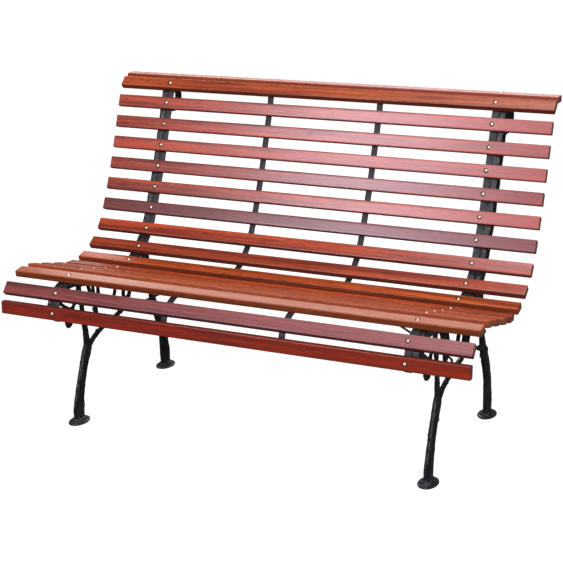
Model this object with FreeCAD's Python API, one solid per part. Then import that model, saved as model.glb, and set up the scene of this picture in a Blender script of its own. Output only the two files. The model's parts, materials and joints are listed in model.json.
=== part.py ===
"""Park bench: eighteen wooden slats bolted along two S-curved cast-iron end frames
shaped like branches, with two flat straps behind the slats and two diagonal braces.

Frame: millimetres, +X along the slats, +Y to the rear, +Z up.  The origin is at the middle
of the footprint of the whole bench, on the ground.  While it is drawn, y = 0 is the middle
of the front feet.
"""
import FreeCAD, Part
import math
import os

V = FreeCAD.Vector

# ---- slats ---------------------------------------------------------------------------
SLAT_LENGTH = 1300.0
SLAT_WIDTH = 35.0
SLAT_THICKNESS = 18.0
SLAT_EDGE_ROUND = 3.0
END_OVERHANG = 160.0            # slat end to the column of bolts

# ---- seat profile: the line through the middles of the slats' front faces --------------
TOE_HEIGHT = 317.5              # lower end of the profile above the ground
TOE_SETBACK = -116.2            # lower end of the profile from the front feet
TOE_ANGLE = 110.1               # direction of the profile at its lower end, from +Y
# (radius, turn in degrees): a plus turn bends up, a minus turn bends back; a straight has
# radius 0 and its length in place of the turn
PROFILE = (
    (84.9, -85.1),              # front roll, under the knees
    (154.1, -39.5),             # crest of the seat
    (0.0, 145.5),               # fall of the seat
    (191.1, 76.8),              # bend from the seat into the back
    (1563.0, 7.7),              # back
    (0.0, 153.7),               # upper back
    (66.0, -90.0),              # top roll
)
FIRST_SLAT = 35.0               # profile length before the lowest slat's middle
FRONT_PITCH = 57.0              # between the two slats of the front roll
CREST_PITCH = 75.0              # from the front roll to the first seat slat
PITCH = 61.6                    # between all the seat and back slats
CAP_GAP = 2.5                   # between the cap slat and the slat below it, at their backs
FRONT_SLATS = 2
SEAT_SLATS = 6
BACK_SLATS = 9

# ---- end frame castings ----------------------------------------------------------------
FLANGE_THICKNESS = 6.0          # flat face that carries the slats
FLANGE_INSIDE = 9.0             # flange edge inside the bolt column
WEB_OFFSET = 19.0               # middle of the web outside the bolt column
WEB_THICKNESS = 22.0
RAIL_DEPTH = 32.0               # flange and web together, square to the slats
RAIL_POCKET = 0.6               # depth of the flat seats for the slats, and of the nuts' spot faces
POCKET_CLEARANCE = 0.6          # on a slat's width
RAIL_TAIL = 17.0                # rail beyond the lowest slat's edge
LEG_THICKNESS = 19.0
TWIG_THICKNESS = 12.0
BRANCH_THICKNESS = 14.0
TWIG_WIDTH = 11.0
CURL_END_WIDTH = 16.0
CURL_END_THICKNESS = 18.0
CURL_TURN = 205.0               # degrees from the top of the rail round to the curl's end
CURL_STEPS = 11
CURL_INSET = 2.0                # the curl starts this much smaller than the rail
CURL_CLEAR = 1.0                # curl inside the rail's front
CURL_TIGHTEN = 3.0              # how much closer the curl's end runs to its middle
CURL_OVERLAP = 4.0              # profile length from the cap's middle to the curl's start
FOOT_SPACING = 476.0            # front to rear
FOOT_LENGTH = 76.0
FOOT_WIDTH = 52.0
FOOT_RIM = 5.0
# rings of the dome: (shorter and narrower than the rim, height above the rim)
FOOT_DOME = ((6.0, 6.0, -1.0), (22.0, 22.0, 6.0), (36.0, 32.0, 10.0))

# ---- flat straps behind the slats ------------------------------------------------------
STRAP_X = 165.0
STRAP_WIDTH = 17.0
STRAP_THICKNESS = 4.0
STRAP_TAIL = 13.0               # strap beyond its last screws

# ---- fasteners -------------------------------------------------------------------------
BOLT_D = 6.0
BOLT_HEAD_D = 10.5
BOLT_HEAD_H = 3.0
BOLT_SEAT_DEPTH = 0.8           # sunk seat round each head
BOLT_SEAT_D = 12.5
BOLT_TAIL = 3.0                 # thread beyond the nut
NUT_ACROSS = 10.0
NUT_HEIGHT = 5.0
WASHER_D = 12.5
WASHER_THICKNESS = 1.4
SCREW_D = 4.0
SCREW_HEAD_D = 8.0
SCREW_HEAD_H = 2.6
SCREW_BITE = 12.0               # length of screw inside a slat
SPOT_FACE_D = 14.0
HOLE_CLEARANCE = 0.6            # on a bolt's diameter
THREAD_CLEARANCE = 0.1          # on the diameter of a threaded or self-cut hole
HOLE_END_GAP = 1.0              # blind hole beyond its screw
OVERCUT = 1.0                   # how far a drill is drawn past the face it starts from

# ---- diagonal braces under the seat ----------------------------------------------------
BRACE_D = 6.0
BRACE_SLAT = 5                  # seat slat that the brace is screwed to, from the front
BRACE_REACH = 250.0             # upper end from the middle of the bench
BRACE_PALM = 18.0               # width of the flattened ends
BRACE_PALM_LENGTH = 29.0
BRACE_PALM_THICKNESS = 3.0
BOSS_D = 20.0
BOSS_STAND = 10.0               # boss face inside the middle of the web

BOLT_X = SLAT_LENGTH / 2 - END_OVERHANG
WEB_X = BOLT_X + WEB_OFFSET
RAIL_MIDDLE = SLAT_THICKNESS - RAIL_POCKET + RAIL_DEPTH / 2
STRAP_BACK = SLAT_THICKNESS + STRAP_THICKNESS
RAIL_FRONT = SLAT_THICKNESS - RAIL_POCKET
FLANGE_BACK = RAIL_FRONT + FLANGE_THICKNESS
SPOT_FACE = FLANGE_BACK - RAIL_POCKET

# ---- branches of the castings ------------------------------------------------------------
# Places in the frame's plane as (y, height).  Heights are shares of TOE_HEIGHT, so that the
# branches keep their shape when the bench is made taller.
FRONT_FORK = (63.0, 0.640)
BRANCH_BOSS = (200.0, 0.752)
BRANCH_ELBOW = (264.0, 0.805)
TWIG_FORK = (112.0, 0.925)
STUB_END = (-19.0, 0.888)
STUB_FORK = (0.0, 1.020)
LOOP_DIP = 0.885
REAR_FORK = (420.0, 0.710)
REAR_STUB = (382.0, 0.715)

# profile lengths at which the branches run into the rail
AT_STUB_FRONT = 88.0
AT_FRONT_LEG = 246.0
AT_TWIG_LOW = 283.0
AT_TWIG_HIGH = 314.0
AT_LOOP_FRONT = 343.0
AT_LOOP_REAR = 430.0
AT_REAR_TWIG = 473.0
AT_BRANCH = 508.0
AT_REAR_LEG = 562.0
AT_REAR_UPPER = 610.0

# sections of the legs from the foot up: (y from the foot, height, width)
FRONT_LEG = ((0.0, 0.010, 44.0), (1.0, 0.066, 46.0), (3.0, 0.135, 50.0), (8.0, 0.21, 41.0),
             (20.0, 0.33, 35.0), (31.0, 0.43, 33.0), (43.0, 0.51, 34.0), (56.0, 0.585, 38.0))
REAR_LEG = ((0.0, 0.010, 44.0), (0.0, 0.066, 47.0), (0.0, 0.135, 52.0), (-4.0, 0.245, 45.0),
            (-7.0, 0.33, 42.0), (-13.0, 0.41, 41.0), (-24.0, 0.50, 41.0), (-38.0, 0.59, 36.0))
# sections of the arms from a fork to the rail: (share of the way, width)
FRONT_ARM = ((0.22, 26.0), (0.42, 23.0), (0.65, 17.0), (1.0, 12.0))
REAR_ARM = ((0.25, 20.0), (0.55, 17.0), (1.0, 15.0))
# sections beside a named place: (y step, z step, width, thickness)
TRUNK_TOP = ((0.0, 0.0, 34.0, 18.0), (1.0, 12.0, 26.0, 12.0))
ARM_ROOT = ((-4.0, -14.0, 26.0, 15.0), (-3.0, 5.0, 26.0, 16.0))
STUB_CUT = ((-1.0, 2.0, 14.0, 10.0), (0.0, 9.0, 27.0, 17.0), (4.0, 22.0, 28.0, 17.0))
STUB_NECK = ((0.0, 0.0, 19.0, 14.0), (3.0, 7.0, 12.0, 12.0))
REAR_TOP = ((0.0, 0.0, 28.0, 17.0),)
REAR_STUB_ROOT = ((6.0, -14.0, 18.0, 14.0),)
REAR_STUB_CUT = ((19.0, -5.0, 17.0, 14.0), (0.0, 0.0, 16.0, 14.0))
LOOP_FRONT = ((0.0, 0.0, 11.0, 11.0), (3.0, -45.0, 11.0, 11.0))
LOOP_LOW = ((-26.0, 13.0, 11.0, 12.0), (0.0, 0.0, 13.0, 12.0), (27.0, 14.0, 11.0, 12.0))
LOOP_REAR = ((-5.0, -32.0, 11.0, 11.0), (0.0, 0.0, 11.0, 11.0))
# the long branch under the seat: steps from the front fork, rise at the middle of its first
# run, step from the middle of its last run, and the width at each of its seven points
BRANCH_ROOT = ((-6.0, -16.0), (28.0, 9.0))
BRANCH_RISE = 6.0
BRANCH_TURN = (12.0, -10.0)
BRANCH_WIDTHS = (18.0, 18.0, 16.0, 15.0, 14.0, 13.0, 12.0)
# thin branches: (step from a place, sideways bow as a share of the length, width at the
# start, width at the end, thickness); branches that cross differ in thickness
STUB_TO_FRONT = ((0.0, 0.0), 0.04, 11.0, 11.0, 11.0)
STUB_TO_LEG = ((-3.0, -2.0), -0.1, 11.0, 11.0, 10.0)
TWIG_STEM = ((-62.0, -8.0), 0.05, 14.0, 18.0, 13.0)
TWIG_LOW = ((1.0, -8.0), -0.03, 15.0, 12.0, 11.0)
TWIG_HIGH = ((2.0, -14.0), -0.03, 12.0, 11.0, 9.0)
TWIG_REAR = ((-6.0, -3.0), 0.04, 13.0, 11.0, 12.0)
REAR_UPPER = ((2.0, -4.0), 0.05, 18.0, 12.0, 12.0)

TINY = 1e-9
SHORTEST_EDGE = 1e-6
OVAL_POINTS = 8
TWIG_SECTIONS = 5
LOFT_DEGREE = 3


# ---- the seat profile ------------------------------------------------------------------
def profile_runs():
    """Each run of the profile as (start length, length, y, z, angle, signed radius)."""
    runs = []
    start, y, z, angle = 0.0, TOE_SETBACK, TOE_HEIGHT, math.radians(TOE_ANGLE)
    for radius, turn in PROFILE:
        if radius == 0.0:
            runs.append((start, turn, y, z, angle, 0.0))
            y += turn * math.cos(angle)
            z += turn * math.sin(angle)
            start += turn
            continue
        signed = math.copysign(radius, turn)
        bend = math.radians(turn)
        runs.append((start, abs(bend) * radius, y, z, angle, signed))
        y += signed * (math.sin(angle + bend) - math.sin(angle))
        z += signed * (math.cos(angle) - math.cos(angle + bend))
        start += abs(bend) * radius
        angle += bend
    return runs


RUNS = profile_runs()


def station(length, behind=0.0):
    """Point and direction at a length along the profile, a distance behind the faces."""
    run = [r for r in RUNS if r[0] <= length + TINY][-1]
    start, _, y, z, angle, radius = run
    along = length - start
    if radius == 0.0:
        y += along * math.cos(angle)
        z += along * math.sin(angle)
    else:
        bend = along / radius
        y += radius * (math.sin(angle + bend) - math.sin(angle))
        z += radius * (math.cos(angle) - math.cos(angle + bend))
        angle += bend
    return y + behind * math.sin(angle), z - behind * math.cos(angle), angle


def slat_stations():
    """Profile length at the middle of each slat, from the front roll to the cap."""
    lengths = [FIRST_SLAT + FRONT_PITCH * i for i in range(FRONT_SLATS)]
    lengths.append(lengths[-1] + CREST_PITCH)
    for _ in range(SEAT_SLATS + BACK_SLATS - 1):
        lengths.append(lengths[-1] + PITCH)
    roll = PROFILE[-1][0]
    half_turn = math.atan((SLAT_WIDTH + CAP_GAP) / 2 / (roll - SLAT_THICKNESS))
    lengths.append(lengths[-1] + 2 * half_turn * roll)
    return lengths


def slat_names():
    names = ["front_slat_%d" % (i + 1) for i in range(FRONT_SLATS)]
    names += ["seat_slat_%d" % (i + 1) for i in range(SEAT_SLATS)]
    names += ["back_slat_%d" % (i + 1) for i in range(BACK_SLATS)]
    return names + ["cap_slat"]


STATIONS = slat_stations()
NAMES = slat_names()


def seat(shape, x, length):
    """Move a shape drawn about a slat's front-face middle (+Z out of the slat) into place."""
    y, z, angle = station(length)
    turn = FreeCAD.Rotation(V(1, 0, 0), math.degrees(angle))
    placed = shape.copy()
    placed.Placement = FreeCAD.Placement(V(x, y, z), turn).multiply(placed.Placement)
    return placed


def seat_point(length, along, behind):
    """Point on a slat's own flat frame: along its width, and behind its front face."""
    y, z, angle = station(length)
    return (y + along * math.cos(angle) + behind * math.sin(angle),
            z + along * math.sin(angle) - behind * math.cos(angle))


def profile_edges(behind, first, last, x):
    """Arcs and straights of the profile between two lengths, a distance behind the faces."""
    edges = []
    for start, length, _, _, _, radius in RUNS:
        begin, end = max(start, first), min(start + length, last)
        if end - begin < SHORTEST_EDGE:
            continue
        marks = (begin, (begin + end) / 2, end - TINY)
        points = [V(x, *station(m, behind)[:2]) for m in marks]
        if edges:
            points[0] = edges[-1].Vertexes[-1].Point
        if radius == 0.0:
            edges.append(Part.LineSegment(points[0], points[2]).toShape())
        else:
            edges.append(Part.Arc(*points).toShape())
    return edges


def strip(front, back, first, last, x_low, x_high):
    """A bar that follows the profile between two depths behind the slats' front faces."""
    near = profile_edges(front, first, last, x_low)
    far = profile_edges(back, first, last, x_low)
    ends = [Part.LineSegment(near[0].Vertexes[0].Point, far[0].Vertexes[0].Point).toShape(),
            Part.LineSegment(near[-1].Vertexes[-1].Point, far[-1].Vertexes[-1].Point).toShape()]
    outline = Part.Wire(Part.__sortEdges__(near + far + ends))
    return Part.Face(outline).extrude(V(x_high - x_low, 0, 0))


# ---- small solids ----------------------------------------------------------------------
def turned(points, bulge=None):
    """A solid of revolution about Z from (radius, z) points; bulge rounds the last side."""
    corners = [V(r, 0, z) for r, z in points]
    edges = [Part.LineSegment(a, b).toShape() for a, b in zip(corners, corners[1:])]
    if bulge:
        edges.append(Part.Arc(corners[-1], V(bulge[0], 0, bulge[1]), corners[0]).toShape())
    else:
        edges.append(Part.LineSegment(corners[-1], corners[0]).toShape())
    return Part.Face(Part.Wire(edges)).revolve(V(0, 0, 0), V(0, 0, 1), 360)


def dome_bolt(shank_d, shank_length, head_d, head_height):
    """Round-headed bolt or screw; the underside of the head is at z = 0."""
    shank, head = shank_d / 2, head_d / 2
    ball = (head * head + head_height * head_height) / 2 / head_height
    lift = ball - head_height
    middle = math.atan2(lift, head) / 2 + math.pi / 4
    bulge = (ball * math.cos(middle), ball * math.sin(middle) - lift)
    points = [(0, head_height), (0, -shank_length), (shank, -shank_length), (shank, 0), (head, 0)]
    return turned(points, bulge)


def drill(diameter, top, depth):
    return Part.makeCylinder(diameter / 2, depth, V(0, 0, top - depth))


def hex_nut(across, height, bore):
    corner = across / 2 / math.cos(math.pi / 6)
    points = [V(corner * math.cos(i * math.pi / 3), corner * math.sin(i * math.pi / 3), 0)
              for i in range(7)]
    blank = Part.Face(Part.makePolygon(points)).extrude(V(0, 0, height))
    return blank.cut(drill(bore, height + OVERCUT, height + 2 * OVERCUT))


def washer(outside, thickness, bore):
    ring = Part.makeCylinder(outside / 2, thickness)
    return ring.cut(drill(bore, thickness + OVERCUT, thickness + 2 * OVERCUT))


# ---- cast branches ---------------------------------------------------------------------
def oval(y, z, direction, width, thickness):
    """Closed oval across a branch that runs in the frame's plane."""
    along = V(0, -math.sin(direction), math.cos(direction))
    ring = []
    for i in range(OVAL_POINTS):
        turn = 2 * math.pi * i / OVAL_POINTS
        ring.append(V(WEB_X + thickness / 2 * math.cos(turn), y, z) + along * (width / 2 * math.sin(turn)))
    curve = Part.BSplineCurve()
    curve.interpolate(ring, PeriodicFlag=True)
    return Part.Wire(curve.toShape())


def limb(sections):
    """A cast branch through sections (y, z, width, thickness)."""
    rings = []
    for i, (y, z, width, thickness) in enumerate(sections):
        before = sections[max(i - 1, 0)]
        after = sections[min(i + 1, len(sections) - 1)]
        direction = math.atan2(after[1] - before[1], after[0] - before[0])
        rings.append(oval(y, z, direction, width, thickness))
    return Part.makeLoft(rings, True, False, False, LOFT_DEGREE)


def step(point, move):
    return point[0] + move[0], point[1] + move[1]


def between(start, end, share):
    return start[0] + (end[0] - start[0]) * share, start[1] + (end[1] - start[1]) * share


def near(point, steps):
    """Sections beside a point, from steps of (y, z, width, thickness)."""
    return [step(point, entry[:2]) + entry[2:] for entry in steps]


def twig(place_from, end, shape):
    """A thin branch from a step beside one point to another, bowed sideways."""
    move, bow, width, end_width, thickness = shape
    start = step(place_from, move)
    run, rise = end[0] - start[0], end[1] - start[1]
    sections = []
    for i in range(TWIG_SECTIONS):
        share = i / (TWIG_SECTIONS - 1)
        side = 4 * bow * share * (1 - share)
        point = step(between(start, end, share), (-rise * side, run * side))
        sections.append(point + (width + (end_width - width) * share, thickness))
    return limb(sections)


def rail_point(length):
    """Middle of the rail's depth at a profile length."""
    return station(length, RAIL_MIDDLE)[:2]


def foot(y):
    """Oval foot plate with a low dome round the leg."""
    def plate(length, width, z):
        ends = V(WEB_X, y + length / 2, z), V(WEB_X + width / 2, y, z)
        return Part.Wire(Part.Ellipse(*ends, V(WEB_X, y, z)).toShape())
    rim = Part.Face(plate(FOOT_LENGTH, FOOT_WIDTH, 0)).extrude(V(0, 0, FOOT_RIM))
    rings = [plate(FOOT_LENGTH - shorter, FOOT_WIDTH - narrower, FOOT_RIM + up)
             for shorter, narrower, up in FOOT_DOME]
    return rim.fuse(Part.makeLoft(rings, True)).Solids[0]


def place(point):
    """(y, share of the toe height) to (y, z)."""
    return point[0], point[1] * TOE_HEIGHT


def front_leg():
    """Front leg, and the arm that goes on from its fork to the seat rail."""
    fork, top = place(FRONT_FORK), rail_point(AT_FRONT_LEG)
    trunk = [place((y, share)) + (width, LEG_THICKNESS) for y, share, width in FRONT_LEG]
    arm = near(fork, ARM_ROOT)
    arm += [between(fork, top, share) + (width, TWIG_THICKNESS) for share, width in FRONT_ARM]
    return [limb(trunk + near(fork, TRUNK_TOP)), limb(arm)]


def long_branch():
    """Branch from the front leg's fork, low under the seat, up to the rail's bend."""
    fork, boss, elbow = place(FRONT_FORK), place(BRANCH_BOSS), place(BRANCH_ELBOW)
    top = rail_point(AT_BRANCH)
    points = [step(fork, move) for move in BRANCH_ROOT]
    points += [step(between(fork, boss, 0.5), (0, BRANCH_RISE)), boss, elbow]
    points += [step(between(elbow, top, 0.5), BRANCH_TURN), top]
    return limb([point + (width, BRANCH_THICKNESS) for point, width in zip(points, BRANCH_WIDTHS)])


def front_stub():
    """Cut-off twig behind the front roll, with two arms up to the rail and the leg."""
    fork = place(STUB_FORK)
    stem = limb(near(place(STUB_END), STUB_CUT) + near(fork, STUB_NECK))
    return [stem, twig(fork, rail_point(AT_STUB_FRONT), STUB_TO_FRONT),
            twig(fork, rail_point(AT_FRONT_LEG), STUB_TO_LEG)]


def seat_twigs():
    """Thin branches that stand between the long branch and the seat rail."""
    branch, elbow, fork = place(BRANCH_BOSS), place(BRANCH_ELBOW), place(TWIG_FORK)
    loop_front, loop_rear = rail_point(AT_LOOP_FRONT), rail_point(AT_LOOP_REAR)
    dip = place((between(loop_front, loop_rear, 0.5)[0], LOOP_DIP))
    loop = limb(near(loop_front, LOOP_FRONT) + near(dip, LOOP_LOW) + near(loop_rear, LOOP_REAR))
    return [twig(branch, fork, TWIG_STEM), twig(fork, rail_point(AT_TWIG_LOW), TWIG_LOW),
            twig(fork, rail_point(AT_TWIG_HIGH), TWIG_HIGH), loop,
            twig(elbow, rail_point(AT_REAR_TWIG), TWIG_REAR)]


def rear_leg():
    """Rear leg with its fork: one arm to the bend of the rail, one up behind the back."""
    fork, top = place(REAR_FORK), rail_point(AT_REAR_LEG)
    leg = [place((FOOT_SPACING + y, share)) + (width, LEG_THICKNESS) for y, share, width in REAR_LEG]
    leg += near(fork, REAR_TOP)
    leg += [between(fork, top, share) + (width, BRANCH_THICKNESS) for share, width in REAR_ARM]
    stub = limb(near(fork, REAR_STUB_ROOT) + near(place(REAR_STUB), REAR_STUB_CUT))
    return [limb(leg), twig(fork, rail_point(AT_REAR_UPPER), REAR_UPPER), stub]


def curl():
    """Top of the rail, rolled back and down into a tapering curl."""
    roll = PROFILE[-1][0]
    y, z, angle = station(STATIONS[-1] + CURL_OVERLAP)
    centre = (y + roll * math.sin(angle), z - roll * math.cos(angle))
    start_width, start_thickness = RAIL_DEPTH - CURL_INSET, WEB_THICKNESS - CURL_INSET
    sections = []
    for i in range(CURL_STEPS):
        share = i / (CURL_STEPS - 1)
        turn = angle - math.radians(CURL_TURN) * share
        width = start_width + (CURL_END_WIDTH - start_width) * share
        thickness = start_thickness + (CURL_END_THICKNESS - start_thickness) * share
        reach = roll - RAIL_FRONT - CURL_CLEAR - width / 2 - CURL_TIGHTEN * share
        point = step(centre, (-reach * math.sin(turn), reach * math.cos(turn)))
        sections.append(point + (width, thickness))
    return limb(sections)


def boss_bar(diameter, length):
    """Cylinder along x from the brace boss's inner face into the casting."""
    y, z = place(BRANCH_BOSS)
    return Part.makeCylinder(diameter / 2, length, V(WEB_X - BOSS_STAND, y, z), V(1, 0, 0))


def end_frame():
    """Right-hand casting: S-shaped rail, branching legs, twigs and feet in one piece."""
    first = FIRST_SLAT - SLAT_WIDTH / 2 - RAIL_TAIL
    last = STATIONS[-1] + SLAT_WIDTH / 2
    web_inside = WEB_X - WEB_THICKNESS / 2
    rail_back = RAIL_FRONT + RAIL_DEPTH
    casting = strip(RAIL_FRONT, rail_back, first, last, web_inside, web_inside + WEB_THICKNESS)
    flange = strip(RAIL_FRONT, FLANGE_BACK, first, last, BOLT_X - FLANGE_INSIDE, WEB_X)
    members = [flange, curl(), long_branch(), boss_bar(BOSS_D, BOSS_STAND), foot(0.0), foot(FOOT_SPACING)]
    members += front_leg() + rear_leg() + front_stub() + seat_twigs()
    for member in members:
        casting = casting.fuse(member)
    pocket_width = SLAT_WIDTH + POCKET_CLEARANCE
    pocket = Part.makeBox(SLAT_LENGTH, pocket_width, SLAT_THICKNESS,
                          V(-SLAT_LENGTH / 2, -pocket_width / 2, -SLAT_THICKNESS))
    hole = drill(BOLT_D + HOLE_CLEARANCE, OVERCUT - SLAT_THICKNESS, FLANGE_THICKNESS + 2 * OVERCUT)
    nut_room = WASHER_THICKNESS + NUT_HEIGHT + BOLT_TAIL + HOLE_END_GAP
    spot_face = drill(SPOT_FACE_D, -SPOT_FACE, nut_room)
    for length in STATIONS:
        cuts = [seat(pocket, 0, length), seat(hole, BOLT_X, length), seat(spot_face, BOLT_X, length)]
        casting = casting.cut(cuts)
    return casting.cut(boss_bar(SCREW_D + THREAD_CLEARANCE, SCREW_BITE + HOLE_END_GAP))


# ---- wood, straps, braces and fasteners ------------------------------------------------
def slat(index):
    body = Part.makeBox(SLAT_LENGTH, SLAT_WIDTH, SLAT_THICKNESS,
                        V(-SLAT_LENGTH / 2, -SLAT_WIDTH / 2, -SLAT_THICKNESS))
    long_edges = [e for e in body.Edges if e.Length > SLAT_LENGTH - TINY]
    body = body.makeFillet(SLAT_EDGE_ROUND, long_edges)
    through = drill(BOLT_D + HOLE_CLEARANCE, OVERCUT, SLAT_THICKNESS + 2 * OVERCUT)
    sunk = drill(BOLT_SEAT_D, OVERCUT, OVERCUT + BOLT_SEAT_DEPTH)
    pilot_depth = SCREW_BITE + HOLE_END_GAP
    pilot = drill(SCREW_D + THREAD_CLEARANCE, pilot_depth - SLAT_THICKNESS, pilot_depth)
    holes = []
    for side in (-1, 1):
        holes += [moved(through, side * BOLT_X), moved(sunk, side * BOLT_X)]
        holes.append(moved(pilot, side * STRAP_X))
        if NAMES[index] == "seat_slat_%d" % BRACE_SLAT:
            holes.append(moved(pilot, side * BRACE_REACH))
    return seat(body.cut(holes), 0, STATIONS[index])


def moved(shape, x):
    copy = shape.copy()
    copy.translate(V(x, 0, 0))
    return copy


def strap():
    """Flat bar, bent between the slats and straight behind each of them, drilled for screws."""
    half = SLAT_WIDTH / 2
    front = []
    for length in STATIONS:
        front += [seat_point(length, -half, SLAT_THICKNESS), seat_point(length, half, SLAT_THICKNESS)]
    front[0] = seat_point(STATIONS[0], -STRAP_TAIL, SLAT_THICKNESS)
    front[-1] = seat_point(STATIONS[-1], STRAP_TAIL, SLAT_THICKNESS)
    headings = [math.atan2(b[1] - a[1], b[0] - a[0]) for a, b in zip(front, front[1:])]
    back = []
    for i, (y, z) in enumerate(front):
        before, after = headings[max(i - 1, 0)], headings[min(i, len(headings) - 1)]
        bend = math.remainder(after - before, 2 * math.pi)
        mitre = STRAP_THICKNESS / math.cos(bend / 2)
        heading = before + bend / 2
        back.append((y + mitre * math.sin(heading), z - mitre * math.cos(heading)))
    outline = [V(STRAP_X - STRAP_WIDTH / 2, y, z) for y, z in front + back[::-1] + front[:1]]
    bar = Part.Face(Part.makePolygon(outline)).extrude(V(STRAP_WIDTH, 0, 0))
    hole = drill(SCREW_D + HOLE_CLEARANCE, OVERCUT - SLAT_THICKNESS, STRAP_THICKNESS + 2 * OVERCUT)
    return bar.cut([seat(hole, STRAP_X, length) for length in STATIONS])


def bolts():
    grip = SPOT_FACE - BOLT_SEAT_DEPTH + WASHER_THICKNESS + NUT_HEIGHT
    bolt = dome_bolt(BOLT_D, grip + BOLT_TAIL, BOLT_HEAD_D, BOLT_HEAD_H)
    bolt.translate(V(0, 0, -BOLT_SEAT_DEPTH))
    return [seat(bolt, BOLT_X, length) for length in STATIONS]


def washers():
    ring = washer(WASHER_D, WASHER_THICKNESS, BOLT_D + HOLE_CLEARANCE)
    ring.translate(V(0, 0, -SPOT_FACE - WASHER_THICKNESS))
    return [seat(ring, BOLT_X, length) for length in STATIONS]


def nuts():
    nut = hex_nut(NUT_ACROSS, NUT_HEIGHT, BOLT_D + THREAD_CLEARANCE)
    nut.translate(V(0, 0, -SPOT_FACE - WASHER_THICKNESS - NUT_HEIGHT))
    return [seat(nut, BOLT_X, length) for length in STATIONS]


def strap_screws():
    body = dome_bolt(SCREW_D, STRAP_THICKNESS + SCREW_BITE, SCREW_HEAD_D, SCREW_HEAD_H)
    body.rotate(V(0, 0, 0), V(1, 0, 0), 180)
    body.translate(V(0, 0, -STRAP_BACK))
    return [seat(body, STRAP_X, length) for length in STATIONS]


def brace_station():
    """Profile length of the slat that carries the brace's upper end."""
    return STATIONS[FRONT_SLATS + BRACE_SLAT - 1]


def brace():
    """Round rod with a flattened palm at each end."""
    low_y, low_z = place(BRANCH_BOSS)
    length = brace_station()
    palm_x = WEB_X - BOSS_STAND - BRACE_PALM_THICKNESS
    half = BRACE_PALM / 2
    low = Part.makeBox(BRACE_PALM_THICKNESS, BRACE_PALM, BRACE_PALM_LENGTH,
                       V(palm_x, low_y - half, low_z - half))
    depth = SLAT_THICKNESS + BRACE_PALM_THICKNESS
    high = Part.makeBox(BRACE_PALM_LENGTH, BRACE_PALM, BRACE_PALM_THICKNESS, V(-half, -half, -depth))
    y, z, _ = station(length, depth)
    start = V(palm_x + BRACE_PALM_THICKNESS / 2, low_y, low_z + BRACE_PALM)
    end = V(BRACE_REACH + BRACE_PALM, y, z)
    rod = Part.makeCylinder(BRACE_D / 2, (end - start).Length, start, end - start)
    bore = SCREW_D + HOLE_CLEARANCE
    upper_hole = drill(bore, OVERCUT - SLAT_THICKNESS, BRACE_PALM_THICKNESS + 2 * OVERCUT)
    lower_hole = Part.makeCylinder(bore / 2, BRACE_PALM_THICKNESS + 2 * OVERCUT,
                                   V(palm_x - OVERCUT, low_y, low_z), V(1, 0, 0))
    body = rod.cut(brace_limits()).fuse([low, seat(high, BRACE_REACH, length)])
    return body.cut([seat(upper_hole, BRACE_REACH, length), lower_hole])


def brace_limits():
    """What the brace's rod may not enter: the slat above it and the boss's side of the palm."""
    above = Part.makeBox(SLAT_LENGTH, SLAT_WIDTH * 2, SLAT_THICKNESS * 2,
                         V(-SLAT_LENGTH / 2, -SLAT_WIDTH, -SLAT_THICKNESS))
    y, z = place(BRANCH_BOSS)
    beyond = Part.makeBox(BOSS_D, 2 * BRACE_PALM_LENGTH, 2 * BRACE_PALM_LENGTH,
                          V(WEB_X - BOSS_STAND, y - BRACE_PALM_LENGTH, z - BOSS_D))
    return [seat(above, 0, brace_station()), beyond]


def brace_screws():
    """One screw into the boss and one up into the slat."""
    y, z = place(BRANCH_BOSS)
    upper = dome_bolt(SCREW_D, BRACE_PALM_THICKNESS + SCREW_BITE, SCREW_HEAD_D, SCREW_HEAD_H)
    upper.rotate(V(0, 0, 0), V(1, 0, 0), 180)
    lower = upper.copy()
    upper.translate(V(0, 0, -SLAT_THICKNESS - BRACE_PALM_THICKNESS))
    lower.rotate(V(0, 0, 0), V(0, 1, 0), 90)
    lower.translate(V(WEB_X - BOSS_STAND - BRACE_PALM_THICKNESS, y, z))
    return [lower, seat(upper, BRACE_REACH, brace_station())]


# ---- assembly --------------------------------------------------------------------------
def both_sides(name, solids):
    """Right-hand pieces as drawn, and their mirror images on the left."""
    right = Part.makeCompound(solids)
    left = Part.makeCompound([s.mirror(V(0, 0, 0), V(1, 0, 0)) for s in solids])
    return {"right_" + name: right, "left_" + name: left}


def build():
    nodes = {name: slat(i) for i, name in enumerate(NAMES)}
    nodes.update(both_sides("end_frame", [end_frame()]))
    nodes.update(both_sides("strap", [strap()]))
    nodes.update(both_sides("slat_bolts", bolts()))
    nodes.update(both_sides("slat_washers", washers()))
    nodes.update(both_sides("slat_nuts", nuts()))
    nodes.update(both_sides("strap_screws", strap_screws()))
    nodes.update(both_sides("brace", [brace()]))
    nodes.update(both_sides("brace_screws", brace_screws()))
    return nodes


def centre_on_footprint(nodes):
    """Move everything so that the origin is at the middle of the whole bench's footprint."""
    boxes = [shape.optimalBoundingBox() for shape in nodes.values()]
    middle = (min(b.YMin for b in boxes) + max(b.YMax for b in boxes)) / 2
    for shape in nodes.values():
        shape.translate(V(0, -middle, 0))
    return middle


NODES = build()
SHIFT = centre_on_footprint(NODES)
os.makedirs("parts", exist_ok=True)
for node, shape in NODES.items():
    solids = shape.Solids
    if not shape.isValid():
        print("invalid:", node)
    print("%-18s solids %2d  volume %.0f" % (node, len(solids), sum(s.Volume for s in solids)))
    result = solids[0] if len(solids) == 1 else Part.makeCompound(solids)
    result.exportStep("parts/%s.step" % node)
print("moved by %.2f in y" % SHIFT)
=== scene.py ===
"""Park bench: varnished mahogany slats on two cast-iron end frames shaped like branches.

Metres, +X along the slats, +Y to the rear, +Z up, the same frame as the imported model.
Places along the seat's S-curve are given as lengths along the slats' front faces.
"""
import json
import math

import bpy
import numpy as np
from mathutils import Matrix, Vector, noise

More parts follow.
